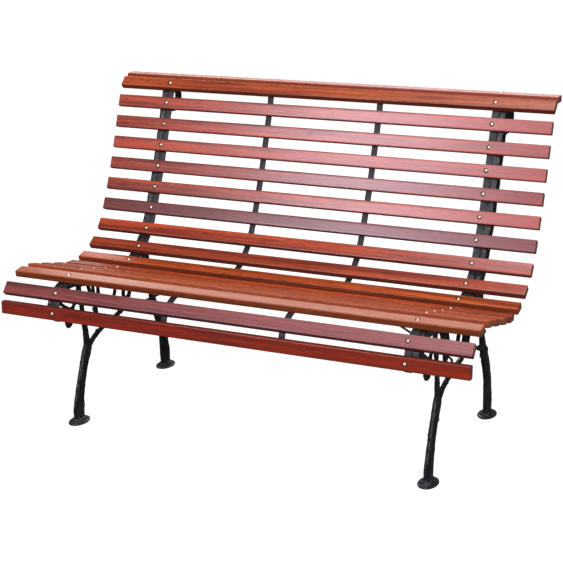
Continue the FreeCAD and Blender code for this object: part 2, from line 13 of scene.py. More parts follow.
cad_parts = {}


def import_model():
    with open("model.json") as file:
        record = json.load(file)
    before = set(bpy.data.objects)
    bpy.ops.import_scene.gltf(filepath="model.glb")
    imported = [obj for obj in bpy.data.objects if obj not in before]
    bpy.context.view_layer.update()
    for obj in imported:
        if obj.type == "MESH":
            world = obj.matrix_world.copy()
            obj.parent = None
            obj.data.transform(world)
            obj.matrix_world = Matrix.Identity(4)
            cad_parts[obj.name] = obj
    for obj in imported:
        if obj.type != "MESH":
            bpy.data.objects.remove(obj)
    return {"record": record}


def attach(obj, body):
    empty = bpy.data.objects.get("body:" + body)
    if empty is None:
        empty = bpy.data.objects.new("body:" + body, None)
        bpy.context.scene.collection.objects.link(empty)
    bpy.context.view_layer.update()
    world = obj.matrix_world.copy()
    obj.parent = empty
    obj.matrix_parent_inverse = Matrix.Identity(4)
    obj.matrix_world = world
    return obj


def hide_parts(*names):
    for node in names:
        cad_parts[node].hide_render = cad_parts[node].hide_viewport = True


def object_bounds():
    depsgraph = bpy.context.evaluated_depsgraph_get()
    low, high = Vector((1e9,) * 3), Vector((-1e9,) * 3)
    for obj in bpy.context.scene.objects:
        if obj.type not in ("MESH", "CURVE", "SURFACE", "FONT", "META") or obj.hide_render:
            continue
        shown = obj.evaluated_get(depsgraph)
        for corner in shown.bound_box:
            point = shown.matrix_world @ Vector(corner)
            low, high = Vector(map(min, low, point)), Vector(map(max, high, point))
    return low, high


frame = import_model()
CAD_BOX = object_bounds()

MM = 0.001
FEET = {m["name"]: m["pos_m"] for m in frame["record"]["mounts"]}
FOOT_X, FRONT_Y = FEET["right_front_foot"][:2]
FOOT_SPACING = round((FEET["right_rear_foot"][1] - FRONT_Y) / MM, 3)

# ---- sizes shared with the solids, in millimetres ----
SLAT_LENGTH, SLAT_WIDTH, SLAT_THICKNESS, SLAT_ROUND = 1300.0, 35.0, 18.0, 3.0
BOLT_X, STRAP_X, WEB_X = 490.0, 165.0, round(FOOT_X / MM, 3)
# the S-curve's toe (y, z, heading), then its runs: (radius, turn), or (0, length) where it is straight
TOE = (-116.2, 317.5, 110.1)
PROFILE = ((84.9, -85.1), (154.1, -39.5), (0.0, 145.5), (191.1, 76.8), (1563.0, 7.7), (0.0, 153.7),
           (66.0, -90.0))
BEND_START, BEND_END = 378.0, 634.0
ROLL = 66.0
FIRST_SLAT, FRONT_PITCH, CREST_PITCH, PITCH, CAP_GAP = 35.0, 57.0, 75.0, 61.6, 2.5
RAIL_DEPTH, WEB_THICKNESS, FLANGE_THICKNESS = 32.0, 22.0, 6.0
RAIL_FRONT, BEND_HOLLOW, BEND_EASE = 18.05, 0.8, 20.0
BOLT_HEAD_D, BOLT_HEAD_H, BOLT_D, BOLT_TAIL = 10.5, 3.0, 6.0, 3.0
BOLT_SEAT_D, BOLT_SEAT_DEPTH = 12.5, 0.8
NUT_ACROSS, NUT_HEIGHT, WASHER_D, WASHER_THICKNESS = 10.0, 5.0, 12.5, 1.4
FLANGE_BACK = 22.8
STRAP_WIDTH, STRAP_THICKNESS, STRAP_TAIL = 17.0, 4.0, 13.0
SCREW_HEAD_D, SCREW_HEAD_H = 8.0, 2.6
BRACE_D, BRACE_REACH, BRACE_PALM, PALM_THICKNESS, BRACE_SLAT = 6.0, 250.0, 18.0, 3.0, 6
BOSS_D, BOSS_STAND, TWIG = 20.0, 10.0, 12.0

# ---- sizes of the finished pieces alone ----
SCREW_D, SCREW_BITE, THREAD_LENGTH = 3.9, 11.0, 5.0
HEAD_WEAR, PAINT_GAP = 0.03, 0.04


# ---- the seat's S-curve ----
def profile_runs():
    """(start length, y, z, heading, signed radius) of each run, the radius 0 where it is straight."""
    runs = []
    start, y, z, angle = 0.0, TOE[0], TOE[1], math.radians(TOE[2])
    for radius, turn in PROFILE:
        if radius == 0.0:
            runs.append((start, y, z, angle, 0.0))
            y += turn * math.cos(angle)
            z += turn * math.sin(angle)
            start += turn
            continue
        signed = math.copysign(radius, turn)
        bend = math.radians(turn)
        runs.append((start, y, z, angle, signed))
        y += signed * (math.sin(angle + bend) - math.sin(angle))
        z += signed * (math.cos(angle) - math.cos(angle + bend))
        start += abs(bend) * radius
        angle += bend
    return runs


RUNS = profile_runs()


def station(length, behind=0.0):
    """(y, z, angle) at a length along the S-curve, a depth behind the slats' front faces."""
    start, y, z, angle, radius = ([r for r in RUNS if r[0] <= length + 1e-9] or RUNS[:1])[-1]
    along = length - start
    if radius == 0.0:
        y += along * math.cos(angle)
        z += along * math.sin(angle)
    else:
        bend = along / radius
        y += radius * (math.sin(angle + bend) - math.sin(angle))
        z += radius * (math.cos(angle) - math.cos(angle + bend))
        angle += bend
    return y + behind * math.sin(angle), z - behind * math.cos(angle), angle


def slat_stations():
    lengths = [FIRST_SLAT, FIRST_SLAT + FRONT_PITCH]
    lengths.append(lengths[-1] + CREST_PITCH)
    for _ in range(14):
        lengths.append(lengths[-1] + PITCH)
    half_turn = math.atan((SLAT_WIDTH + CAP_GAP) / 2 / (ROLL - SLAT_THICKNESS))
    return lengths + [lengths[-1] + 2 * half_turn * ROLL]


STATIONS = slat_stations()
NAMES = ["front_slat_1", "front_slat_2"] + ["seat_slat_%d" % i for i in range(1, 7)]
NAMES += ["back_slat_%d" % i for i in range(1, 10)] + ["cap_slat"]


def world(x, y, z):
    """Millimetres with y counted from the front feet, to metres in the row frame."""
    return Vector((x * MM, y * MM + FRONT_Y, z * MM))


def slat_place(length, x=0.0):
    """Matrix of a slat: +X along it, +Y up its width, +Z out of its front face."""
    y, z, angle = station(length)
    turn = Matrix.Rotation(angle, 4, "X")
    return Matrix.Translation(world(x, y, z)) @ turn


# ---- mesh helpers ----
def new_object(name, data):
    """Object linked into the scene."""
    item = bpy.data.objects.new(name, data)
    bpy.context.scene.collection.objects.link(item)
    return item


def applied(item):
    """Mesh of an object with its modifiers applied."""
    graph = bpy.context.evaluated_depsgraph_get()
    return bpy.data.meshes.new_from_object(item.evaluated_get(graph))


def make_mesh(name, verts, faces):
    mesh = bpy.data.meshes.new(name)
    mesh.from_pydata([tuple(v) for v in verts], [], faces)
    mesh.update()
    return mesh


def finish_mesh(mesh, crease=38.0):
    mesh.shade_smooth()
    mesh.set_sharp_from_angle(angle=math.radians(crease))


def add_piece(name, mesh, material, nodes, matrix=None):
    """Links a mesh as a piece of the bench that stands for the named solids."""
    piece = new_object(name, mesh)
    if not mesh.materials:
        mesh.materials.append(material)
    if matrix is not None:
        piece.matrix_world = matrix
    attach(piece, "root")
    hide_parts(*nodes)
    return piece


def loft(rings, closed_ends=True):
    """Vertices and faces of a skin over rings that all have the same number of points."""
    count = len(rings[0])
    verts = [p for ring in rings for p in ring]
    faces = []
    for i in range(len(rings) - 1):
        a, b = i * count, (i + 1) * count
        for j in range(count):
            k = (j + 1) % count
            faces.append((a + j, a + k, b + k, b + j))
    if closed_ends:
        faces.append(tuple(range(count - 1, -1, -1)))
        top = (len(rings) - 1) * count
        faces.append(tuple(range(top, top + count)))
    return verts, faces


def circle(radius, height, segments):
    """Ring of points about Z."""
    turns = [2 * math.pi * i / segments for i in range(segments)]
    return [Vector((radius * math.cos(turn), radius * math.sin(turn), height)) for turn in turns]


def lathe(outline, segments):
    """Solid turned about Z from (radius, height) points, the first and last on the axis."""
    rings = [circle(radius, height, segments) for radius, height in outline[1:-1]]
    verts, faces = loft(rings, False)
    verts += [Vector((0, 0, outline[0][1])), Vector((0, 0, outline[-1][1]))]
    first, last = len(verts) - 2, len(verts) - 1
    top = (len(rings) - 1) * segments
    for i in range(segments):
        k = (i + 1) % segments
        faces.append((first, k, i))
        faces.append((last, top + i, top + k))
    return verts, faces


def put_together(parts):
    """Joins (verts, faces, matrix) copies into one list of vertices and faces."""
    verts, faces = [], []
    for part_verts, part_faces, matrix in parts:
        base = len(verts)
        verts += [matrix @ v for v in part_verts]
        faces += [tuple(base + i for i in face) for face in part_faces]
    return verts, faces


def rounded_rectangle(width, depth, radius, steps, flat_steps):
    """Closed outline (across, depth) round a rectangle centred on the origin."""
    corners = []
    for cx, cy, begin in ((1, 1, 0), (-1, 1, 90), (-1, -1, 180), (1, -1, 270)):
        y, z = cx * (width / 2 - radius), cy * (depth / 2 - radius)
        turns = [math.radians(begin + 90 * i / steps) for i in range(steps + 1)]
        corners.append([(y + radius * math.cos(turn), z + radius * math.sin(turn)) for turn in turns])
    points = []
    for k, corner in enumerate(corners):
        points += corner
        (y, z), (next_y, next_z) = corner[-1], corners[(k + 1) % 4][0]
        inner = 1 if k % 2 else flat_steps
        shares = [i / (inner + 1) for i in range(1, inner + 1)]
        points += [(y + (next_y - y) * share, z + (next_z - z) * share) for share in shares]
    return points


def smooth_path(points, step):
    """Catmull-Rom curve through rows of numbers, sampled about every step along its first two."""
    rows = np.array(points, float)
    padded = np.vstack([2 * rows[0] - rows[1], rows, 2 * rows[-1] - rows[-2]])
    out = []
    for i in range(1, len(padded) - 2):
        p0, p1, p2, p3 = padded[i - 1:i + 3]
        count = max(2, int(np.linalg.norm((p2 - p1)[:2]) / step))
        for j in range(count):
            t = j / count
            out.append(0.5 * (2 * p1 + (p2 - p0) * t + (2 * p0 - 5 * p1 + 4 * p2 - p3) * t * t
                              + (3 * p1 - p0 - 3 * p2 + p3) * t ** 3))
    out.append(rows[-1])
    return np.array(out)


# ---- shader groups ----
class Nodes:
    """Shorthand for adding and linking shader nodes in one tree."""

    def __init__(self, tree):
        self.tree = tree

    def add(self, kind, settings=None, **inputs):
        node = self.tree.nodes.new(kind)
        for key, value in (settings or {}).items():
            setattr(node, key, value)
        for key, value in inputs.items():
            self.join(value, node.inputs[key.replace("_", " ")])
        return node

    def join(self, value, socket):
        if isinstance(value, bpy.types.NodeSocket):
            self.tree.links.new(value, socket)
        else:
            socket.default_value = value

    def math(self, operation, *values, clamp=False):
        node = self.tree.nodes.new("ShaderNodeMath")
        node.operation = operation
        node.use_clamp = clamp
        for i, value in enumerate(values):
            self.join(value, node.inputs[i])
        return node.outputs[0]

    def times(self, a, b, clamp=False):
        return self.math("MULTIPLY", a, b, clamp=clamp)

    def plus(self, a, b, clamp=False):
        return self.math("ADD", a, b, clamp=clamp)

    def minus(self, a, b, clamp=False):
        return self.math("SUBTRACT", a, b, clamp=clamp)

    def vector(self, operation, *values):
        node = self.tree.nodes.new("ShaderNodeVectorMath")
        node.operation = operation
        for i, value in enumerate(values):
            self.join(value, node.inputs[i])
        return node.outputs[0]

    def noise(self, coordinates, scale, detail=3.0, roughness=0.5, distortion=0.0):
        node = self.tree.nodes.new("ShaderNodeTexNoise")
        self.join(coordinates, node.inputs["Vector"])
        self.join(scale, node.inputs["Scale"])
        self.join(detail, node.inputs["Detail"])
        self.join(roughness, node.inputs["Roughness"])
        self.join(distortion, node.inputs["Distortion"])
        return node.outputs["Fac"]

    def streaks(self, coordinates, along, across, *settings):
        """Noise with its own scale along a board and another across it."""
        return self.noise(self.vector("MULTIPLY", coordinates, (along, across, across)), 1.0, *settings)

    def ramp(self, value, low, high, out_low=0.0, out_high=1.0):
        node = self.tree.nodes.new("ShaderNodeMapRange")
        node.interpolation_type = "SMOOTHSTEP"
        for socket, given in zip(node.inputs, (value, low, high, out_low, out_high)):
            self.join(given, socket)
        return node.outputs[0]

    def mix(self, factor, a, b, blend="MIX"):
        node = self.tree.nodes.new("ShaderNodeMix")
        node.data_type = "RGBA"
        node.blend_type = blend
        self.join(factor, node.inputs[0])
        self.join(a, node.inputs[6])
        self.join(b, node.inputs[7])
        return node.outputs[2]


def new_group(name, inputs, outputs):
    """Shader group with named sockets; returns the group, its Nodes and its two ends."""
    group = bpy.data.node_groups.new(name, "ShaderNodeTree")
    for title, kind, value in inputs:
        socket = group.interface.new_socket(name=title, in_out="INPUT", socket_type=kind)
        if value is not None:
            socket.default_value = value
    for title, kind in outputs:
        group.interface.new_socket(name=title, in_out="OUTPUT", socket_type=kind)
    return group, Nodes(group), group.nodes.new("NodeGroupInput"), group.nodes.new("NodeGroupOutput")


FLOAT, COLOR, VECTOR = "NodeSocketFloat", "NodeSocketColor", "NodeSocketVector"


def grain_group():
    """Mahogany: broad streaks, lengthwise figure, fine fibres and short dark pores."""
    group, n, given, out = new_group(
        "wood_grain",
        [("Coordinates", VECTOR, None), ("Seed", FLOAT, 0.0), ("Dark", COLOR, None), ("Light", COLOR, None),
         ("Streaks", FLOAT, 0.6), ("Pores", FLOAT, 0.5)],
        [("Color", COLOR), ("Tone", FLOAT), ("Height", FLOAT)])
    seed = given.outputs["Seed"]
    offset = n.add("ShaderNodeCombineXYZ", X=n.times(seed, 3.17), Y=n.times(seed, 1.31),
                   Z=n.times(seed, 2.23)).outputs[0]
    base = n.vector("ADD", given.outputs["Coordinates"], offset)
    bend = n.streaks(base, 1.6, 9.0, 2.0)
    wander = n.add("ShaderNodeCombineXYZ", Y=n.times(n.minus(bend, 0.5), 0.02)).outputs[0]
    grain = n.vector("ADD", base, wander)
    broad = n.streaks(grain, 1.1, 46.0, 5.0, 0.55, 0.4)
    figure = n.streaks(grain, 5.0, 230.0, 3.0, 0.6)
    fibres = n.streaks(grain, 26.0, 1300.0, 2.0, 0.6)
    pore = n.ramp(n.streaks(grain, 42.0, 650.0, 2.0), 0.56, 0.68)
    mixed = n.plus(n.times(broad, 0.46), n.times(figure, 0.36))
    mixed = n.plus(mixed, n.times(fibres, 0.18))
    tone = n.ramp(mixed, 0.37, 0.63)
    spread = n.times(n.minus(tone, 0.45), given.outputs["Streaks"])
    tone = n.plus(spread, 0.5, clamp=True)
    colour = n.mix(tone, given.outputs["Dark"], given.outputs["Light"])
    dark_pore = n.times(pore, given.outputs["Pores"])
    colour = n.mix(dark_pore, colour, (0.035, 0.010, 0.006, 1.0))
    height = n.minus(n.times(fibres, 0.4), n.times(pore, 0.8))
    n.join(colour, out.inputs["Color"])
    n.join(tone, out.inputs["Tone"])
    n.join(n.plus(height, n.times(figure, 0.5)), out.inputs["Height"])
    return group


def weather_group():
    """Masks on a slat: its edges, with worn varnish and painted shade; a ring of painted shade round the
    bolts; a pale varnish bloom along its length, partly a painted sheen.
    """
    group, n, given, out = new_group(
        "slat_weather",
        [("Coordinates", VECTOR, None), ("Seed", FLOAT, 0.0), ("Half Width", FLOAT, 0.0175),
         ("Bolt Place", FLOAT, 0.49), ("Film Start", FLOAT, 0.0), ("Film Spread", FLOAT, 0.3)],
        [("Edge", FLOAT), ("ShadeRing", FLOAT), ("BloomAndSheen", FLOAT), ("Patches", FLOAT)])
    where, seed = given.outputs["Coordinates"], given.outputs["Seed"]
    parts = n.add("ShaderNodeSeparateXYZ", Vector=where).outputs
    shifted = n.vector("ADD", where, n.add("ShaderNodeCombineXYZ", X=seed, Y=seed).outputs[0])
    ragged = n.times(n.minus(n.noise(shifted, 60.0, 4.0), 0.5), 0.0022)
    # near the edges the varnish is worn, and the colour gets painted shade
    to_edge = n.minus(given.outputs["Half Width"], n.math("ABSOLUTE", parts[1]))
    edge = n.ramp(n.plus(to_edge, ragged), 0.0003, 0.0026, 1.0, 0.0)
    # a ring of painted shade round each bolt head
    across = n.minus(n.math("ABSOLUTE", parts[0]), given.outputs["Bolt Place"])
    away = n.math("SQRT", n.plus(n.times(across, across), n.times(parts[1], parts[1])))
    shade_ring = n.ramp(n.plus(away, ragged), 0.0058, 0.0090, 1.0, 0.0)
    # the pale varnish bloom, partly a painted sheen, grows along the slat from its start
    wash = n.streaks(shifted, 5.0, 30.0, 3.0)
    along = n.plus(parts[0], n.times(n.minus(wash, 0.5), 0.5))
    begin = given.outputs["Film Start"]
    bloom_and_sheen = n.ramp(along, begin, n.plus(begin, given.outputs["Film Spread"]))
    n.join(edge, out.inputs["Edge"])
    n.join(shade_ring, out.inputs["ShadeRing"])
    n.join(bloom_and_sheen, out.inputs["BloomAndSheen"])
    n.join(n.streaks(shifted, 9.0, 60.0, 4.0), out.inputs["Patches"])
    return group


def casting_group():
    """Sand-cast skin under paint: painted shade that makes the hollows black, a painted highlight of pale
    flecks on the ridges, and pale specks all over.
    """
    group, n, given, out = new_group(
        "cast_skin",
        [("Coordinates", VECTOR, None), ("Hollow", FLOAT, 0.0), ("Paint", COLOR, None),
         ("Dust", COLOR, None), ("Dust Amount", FLOAT, 0.5), ("Roughness", FLOAT, 0.4)],
        [("Color", COLOR), ("Roughness", FLOAT), ("Height", FLOAT)])
    where, hollow = given.outputs["Coordinates"], given.outputs["Hollow"]
    grains = n.noise(where, 900.0, 2.0, 0.6)
    lumps = n.noise(where, 210.0, 3.0, 0.55)
    patches = n.noise(where, 34.0, 4.0, 0.6)
    speckle = n.ramp(n.noise(where, 520.0, 2.0), 0.58, 0.70)
    # pale flecks on the raised ridges are a painted highlight
    ridge_highlight = n.ramp(n.noise(where, 170.0, 4.0, 0.65), 0.50, 0.66)
    raised = n.minus(1.0, n.times(hollow, 1.6), clamp=True)
    flecks = n.plus(n.times(ridge_highlight, raised), n.times(speckle, 0.5))
    dust_and_highlight = n.times(flecks, given.outputs["Dust Amount"], clamp=True)
    shade = n.mix(n.ramp(patches, 0.3, 0.7, 0.0, 0.5), given.outputs["Paint"], (0.0, 0.0, 0.0, 1.0))
    # darkening the hollows almost to black is painted shade
    shade = n.mix(n.times(hollow, 0.8, clamp=True), shade, (0.001, 0.001, 0.001, 1.0))
    n.join(n.mix(dust_and_highlight, shade, given.outputs["Dust"]), out.inputs["Color"])
    rough = n.plus(given.outputs["Roughness"], n.times(n.minus(lumps, 0.5), 0.35))
    rough = n.plus(rough, n.times(dust_and_highlight, 0.3), clamp=True)
    n.join(rough, out.inputs["Roughness"])
    n.join(n.plus(n.times(grains, 0.35), lumps), out.inputs["Height"])
    return group


GRAIN, WEATHER, CAST_SKIN = grain_group(), weather_group(), casting_group()


def new_material(name):
    material = bpy.data.materials.new(name)
    material.use_nodes = True
    tree = material.node_tree
    shader = tree.nodes["Principled BSDF"]
    where = tree.nodes.new("ShaderNodeTexCoord").outputs["Object"]
    return material, Nodes(tree), shader, where


def use_group(n, group, **inputs):
    node = n.tree.nodes.new("ShaderNodeGroup")
    node.node_tree = group
    for key, value in inputs.items():
        n.join(value, node.inputs[key.replace("_", " ")])
    return node.outputs


def bump(n, shader, height, strength, distance):
    node = n.add("ShaderNodeBump", Height=height, Strength=strength, Distance=distance)
    n.join(node.outputs[0], shader.inputs["Normal"])


# the first two set the pale varnish bloom along the slats, partly a painted sheen
BLOOM_AND_SHEEN_SPREAD, BLOOM_AND_SHEEN_STRENGTH, STREAKS, PORES = 0.7, 0.6, 1.1, 0.75
# the first colour tints patches of the wood; the second is painted shade along the slats' edges
TINT, EDGE_SHADE = (0.80, 0.62, 0.55, 1.0), (0.085, 0.018, 0.010, 1.0)
# painted shade round the bolt heads
BOLT_SHADE_RING = (0.022, 0.009, 0.007, 1.0)


def varnished_wood(name, seed, dark, light, bloom_and_sheen_colour, bloom_and_sheen_amount, bloom_and_sheen_start, gloss):
    """Dyed mahogany under varnish, with the pale bloom that old varnish gets, partly a painted sheen that
    grows towards the right-hand end of each slat.
    """
    material, n, shader, where = new_material(name)
    grain = use_group(n, GRAIN, Coordinates=where, Seed=seed, Dark=dark + (1.0,), Light=light + (1.0,),
                      Streaks=STREAKS, Pores=PORES)
    weather = use_group(n, WEATHER, Coordinates=where, Seed=seed, Film_Start=bloom_and_sheen_start,
                        Film_Spread=BLOOM_AND_SHEEN_SPREAD)
    # pale varnish bloom, partly a painted sheen towards the slat's right-hand end
    bloom_and_sheen = n.times(weather["BloomAndSheen"], n.ramp(weather["Patches"], 0.25, 0.75, 0.72, 1.0))
    bloom_and_sheen = n.times(bloom_and_sheen, bloom_and_sheen_amount * BLOOM_AND_SHEEN_STRENGTH)
    colour = n.mix(bloom_and_sheen, grain["Color"], bloom_and_sheen_colour + (1.0,))
    worn = n.mix(n.ramp(weather["Patches"], 0.35, 0.65, 0.0, 0.35), colour,
                 n.mix(1.0, colour, TINT, "MULTIPLY"))
    # painted shade along the slat's edges
    edged = n.mix(n.times(weather["Edge"], 0.55), worn, EDGE_SHADE)
    # painted shade round the bolt heads darkens the colour
    shade_ringed = n.mix(n.times(weather["ShadeRing"], 0.85), edged, BOLT_SHADE_RING)
    n.join(shade_ringed, shader.inputs["Base Color"])
    rough = n.plus(gloss + 0.12, n.times(weather["Patches"], 0.16))
    rough = n.plus(rough, n.times(bloom_and_sheen, 0.10), clamp=True)
    n.join(rough, shader.inputs["Roughness"])
    n.join(n.ramp(weather["Edge"], 0.0, 1.0, 0.8, 0.2), shader.inputs["Coat Weight"])
    shader.inputs["Specular IOR Level"].default_value = 0.12
    shader.inputs["Coat Roughness"].default_value = gloss
    shader.inputs["Coat IOR"].default_value = 1.5
    bump(n, shader, grain["Height"], 0.35, 0.00022)
    return material


def cast_iron(name, paint, dust_and_highlight, dust_and_highlight_amount, roughness, relief):
    """Black paint over a rough skin, with painted shade in its hollows, a painted highlight on its ridges
    and pale specks all over.
    """
    material, n, shader, where = new_material(name)
    hollow = n.add("ShaderNodeAttribute", {"attribute_name": "hollow"}).outputs["Fac"]
    skin = use_group(n, CAST_SKIN, Coordinates=where, Hollow=hollow, Paint=paint + (1.0,),
                     Dust=dust_and_highlight + (1.0,), Dust_Amount=dust_and_highlight_amount, Roughness=roughness)
    n.join(skin["Color"], shader.inputs["Base Color"])
    n.join(skin["Roughness"], shader.inputs["Roughness"])
    shader.inputs["Specular IOR Level"].default_value = 0.4
    bump(n, shader, skin["Height"], 0.6, relief)
    return material


def turned_metal(name, colour, tarnish, roughness):
    """Bare metal with clouds and spots of tarnish."""
    material, n, shader, where = new_material(name)
    cloud = n.noise(where, 240.0, 3.0)
    spots = n.ramp(n.noise(where, 900.0, 2.0), 0.60, 0.72)
    shade = n.mix(n.ramp(cloud, 0.35, 0.75), colour + (1.0,), tarnish + (1.0,))
    n.join(n.mix(n.times(spots, 0.5), shade, tarnish + (1.0,)), shader.inputs["Base Color"])
    n.join(n.plus(roughness, n.times(cloud, 0.18)), shader.inputs["Roughness"])
    shader.inputs["Metallic"].default_value = 1.0
    bump(n, shader, cloud, 0.15, 0.0001)
    return material


# second colour of each paint: pale flecks, a painted highlight on the ridges, with specks all over
BARK_PAINT = cast_iron("bark_casting", (0.013, 0.015, 0.019), (0.130, 0.140, 0.155), 0.50, 0.32, 0.0010)
FACE_PAINT = cast_iron("rail_face_paint", (0.010, 0.012, 0.016), (0.070, 0.076, 0.086), 0.35, 0.44, 0.0006)
STRAP_PAINT = cast_iron("strap_paint", (0.010, 0.011, 0.016), (0.05, 0.048, 0.048), 0.3, 0.50, 0.00025)
BRASS = turned_metal("bolt_brass", (0.90, 0.68, 0.50), (0.50, 0.30, 0.19), 0.24)
ZINC = turned_metal("zinc_plate", (0.46, 0.47, 0.48), (0.20, 0.19, 0.17), 0.34)
BRACE_PAINT = cast_iron("brace_paint", (0.020, 0.021, 0.024), (0.08, 0.075, 0.07), 0.35, 0.42, 0.0002)

DEEP, RED, ORANGE = (0.13, 0.014, 0.006), (0.44, 0.058, 0.018), (0.50, 0.105, 0.022)
PLUM = (0.085, 0.018, 0.016)
# colours of the pale varnish bloom, partly a painted sheen of light
ROSE, HONEY, DUSK = (0.50, 0.17, 0.18), (0.52, 0.15, 0.040), (0.29, 0.100, 0.115)
# name: (dark grain, light grain, colour of the pale varnish bloom and painted sheen, its amount, where
# along the slat it starts, gloss)
SLAT_LOOKS = {
    "cap_slat": (RED, ORANGE, ROSE, 0.55, -0.3, 0.22),
    "back_slat_9": (DEEP, (0.42, 0.080, 0.022), HONEY, 0.15, -0.5, 0.26),
    "back_slat_8": (DEEP, RED, ROSE, 0.80, -0.15, 0.26),
    "back_slat_7": (DEEP, RED, ROSE, 0.75, -0.10, 0.26),
    "back_slat_6": (DEEP, RED, ROSE, 0.80, -0.15, 0.28),
    "back_slat_5": (DEEP, (0.34, 0.050, 0.022), DUSK, 0.85, -0.15, 0.26),
    "back_slat_4": (DEEP, (0.40, 0.060, 0.020), ROSE, 0.75, -0.10, 0.26),
    "back_slat_3": (PLUM, (0.18, 0.038, 0.030), DUSK, 0.75, -0.30, 0.28),
    "back_slat_2": (DEEP, (0.46, 0.065, 0.020), ROSE, 0.55, 0.00, 0.24),
    "back_slat_1": (DEEP, (0.38, 0.060, 0.020), ROSE, 0.15, 0.10, 0.24),
    "seat_slat_6": (DEEP, (0.56, 0.100, 0.016), HONEY, 0.10, -0.2, 0.22),
    "seat_slat_5": (DEEP, (0.58, 0.075, 0.010), HONEY, 0.15, -0.2, 0.22),
    "seat_slat_4": (DEEP, (0.62, 0.125, 0.022), HONEY, 0.30, -0.3, 0.22),
    "seat_slat_3": (DEEP, (0.60, 0.115, 0.030), ROSE, 0.15, -0.1, 0.22),
    "seat_slat_2": (RED, (0.58, 0.125, 0.026), HONEY, 0.30, -0.5, 0.22),
    "seat_slat_1": ((0.26, 0.050, 0.014), (0.46, 0.110, 0.028), HONEY, 0.30, -0.5, 0.24),
    "front_slat_2": (PLUM, (0.26, 0.055, 0.050), DUSK, 0.70, -0.5, 0.34),
    "front_slat_1": ((0.10, 0.007, 0.003), (0.32, 0.020, 0.003), (0.40, 0.045, 0.003), 0.25, -0.4, 0.30),
}


# ---- slats ----
# (distance from the end, inset) of the rings that ease a board's ends
END_ROUND = ((0.0, 1.3), (0.35, 0.65), (0.9, 0.2), (1.8, 0.0))
PLANING, PLANING_FLOOR, EDGE_WAVER = 0.13, 0.02, 0.10
SLAT_RINGS = 96


def slat_mesh(name, seed):
    """Planed board with eased edges, chamfered ends and two sunk bolt seats."""
    half = SLAT_LENGTH / 2 * MM
    places = [(-half + d * MM, inset) for d, inset in END_ROUND]
    places += [(-half + 0.004 + (2 * half - 0.008) * i / SLAT_RINGS, 0.0) for i in range(SLAT_RINGS + 1)]
    places += [(half - d * MM, inset) for d, inset in reversed(END_ROUND)]
    outline = rounded_rectangle(SLAT_WIDTH, SLAT_THICKNESS, SLAT_ROUND, 5, 5)
    rings = []
    for x, inset in places:
        ring = []
        for across, deep in outline:
            face = noise.noise(Vector((x * 7.5 + seed, across * 0.045, seed * 2.0))) + 1.0
            side = noise.noise(Vector((x * 9.0 - seed, 4.0 + across * 0.02, seed))) + 1.0
            shrink_y = 1.0 - (inset + EDGE_WAVER * side) / (SLAT_WIDTH / 2)
            shrink_z = 1.0 - inset / (SLAT_THICKNESS / 2)
            z = deep * shrink_z - SLAT_THICKNESS / 2
            if deep > 0:
                z -= PLANING_FLOOR + PLANING * face
            ring.append(Vector((x, across * shrink_y * MM, z * MM)))
        rings.append(ring)
    body = new_object(name + "_blank", make_mesh(name + "_blank", *loft(rings)))
    seat, floor = BOLT_SEAT_D / 2, -BOLT_SEAT_DEPTH - 0.35
    drill = lathe(scaled([(0, floor), (seat - 0.5, floor), (seat, floor + 0.1), (seat, 4.0), (0, 4.0)]), 32)
    drills = put_together([drill + (Matrix.Translation((side * BOLT_X * MM, 0, 0)),) for side in (-1, 1)])
    cutter = new_object(name + "_cutter", make_mesh(name + "_cutter", *drills))
    sink = body.modifiers.new("bolt_seats", "BOOLEAN")
    sink.object = cutter
    sink.operation = "DIFFERENCE"
    sink.solver = "EXACT"
    mesh = applied(body)
    for item in (body, cutter):
        bpy.data.objects.remove(item)
    mesh.name = name
    finish_mesh(mesh)
    return mesh


def build_slats():
    for i, name in enumerate(NAMES):
        dark, light, bloom_and_sheen, amount, start, gloss = SLAT_LOOKS[name]
        wood = varnished_wood("varnish_" + name, 11.0 + 7.3 * i, dark, light, bloom_and_sheen, amount, start, gloss)
        board = slat_mesh(name, 3.7 * i)
        add_piece("board_" + name, board, wood, [name], slat_place(STATIONS[i]))


# ---- cast end frames ----
FORK_FRONT, BOSS, ELBOW, TWIG_FORK = (63.0, 203.2), (200.0, 238.8), (264.0, 255.6), (112.0, 293.7)
STUB_END, STUB_FORK, FORK_REAR, STUB_REAR = (-19.0, 281.9), (0.0, 323.9), (420.0, 225.4), (382.0, 227.0)
FOOT_HALF_WIDTH, FOOT_HALF_LENGTH = 26.0, 38.0
# (share of the half width, height) round a foot plate and its neck
FOOT_OUTLINE = [(0, 0.0), (0.96, 0.0), (1.0, 1.2), (1.0, 3.6), (0.97, 5.0), (0.90, 5.6), (0.82, 6.2),
                (0.74, 8.6), (0.64, 11.2), (0.52, 13.6), (0.38, 15.0), (0, 15.6)]
CURL_TURN, CURL_WIDTH, CURL_END_WIDTH, CURL_THICKNESS, CURL_END_THICKNESS = 205, 30.0, 16.0, 20, 18
# bumps where twigs were cut away, on the outer and inner faces: (x, y, z, radius)
KNOTS = ((519, 12, 88, 5.5), (500, 22, 120, 5.0), (519, 40, 158, 6.0), (517, 66, 214, 7.0),
         (501, 57, 190, 6.0), (519, 474, 66, 6.0), (500, 468, 112, 5.5), (519, 456, 140, 6.0),
         (518, 430, 208, 7.5), (502, 425, 190, 5.5), (516, 120, 226, 4.5), (515, 236, 246, 5.0),
         (516, 281, 276, 4.5), (515, 112, 291, 6.0), (516, 1, 322, 5.5), (516, 168, 281, 5.0),
         (516, 421, 262, 5.0), (516, 413, 330, 4.5))
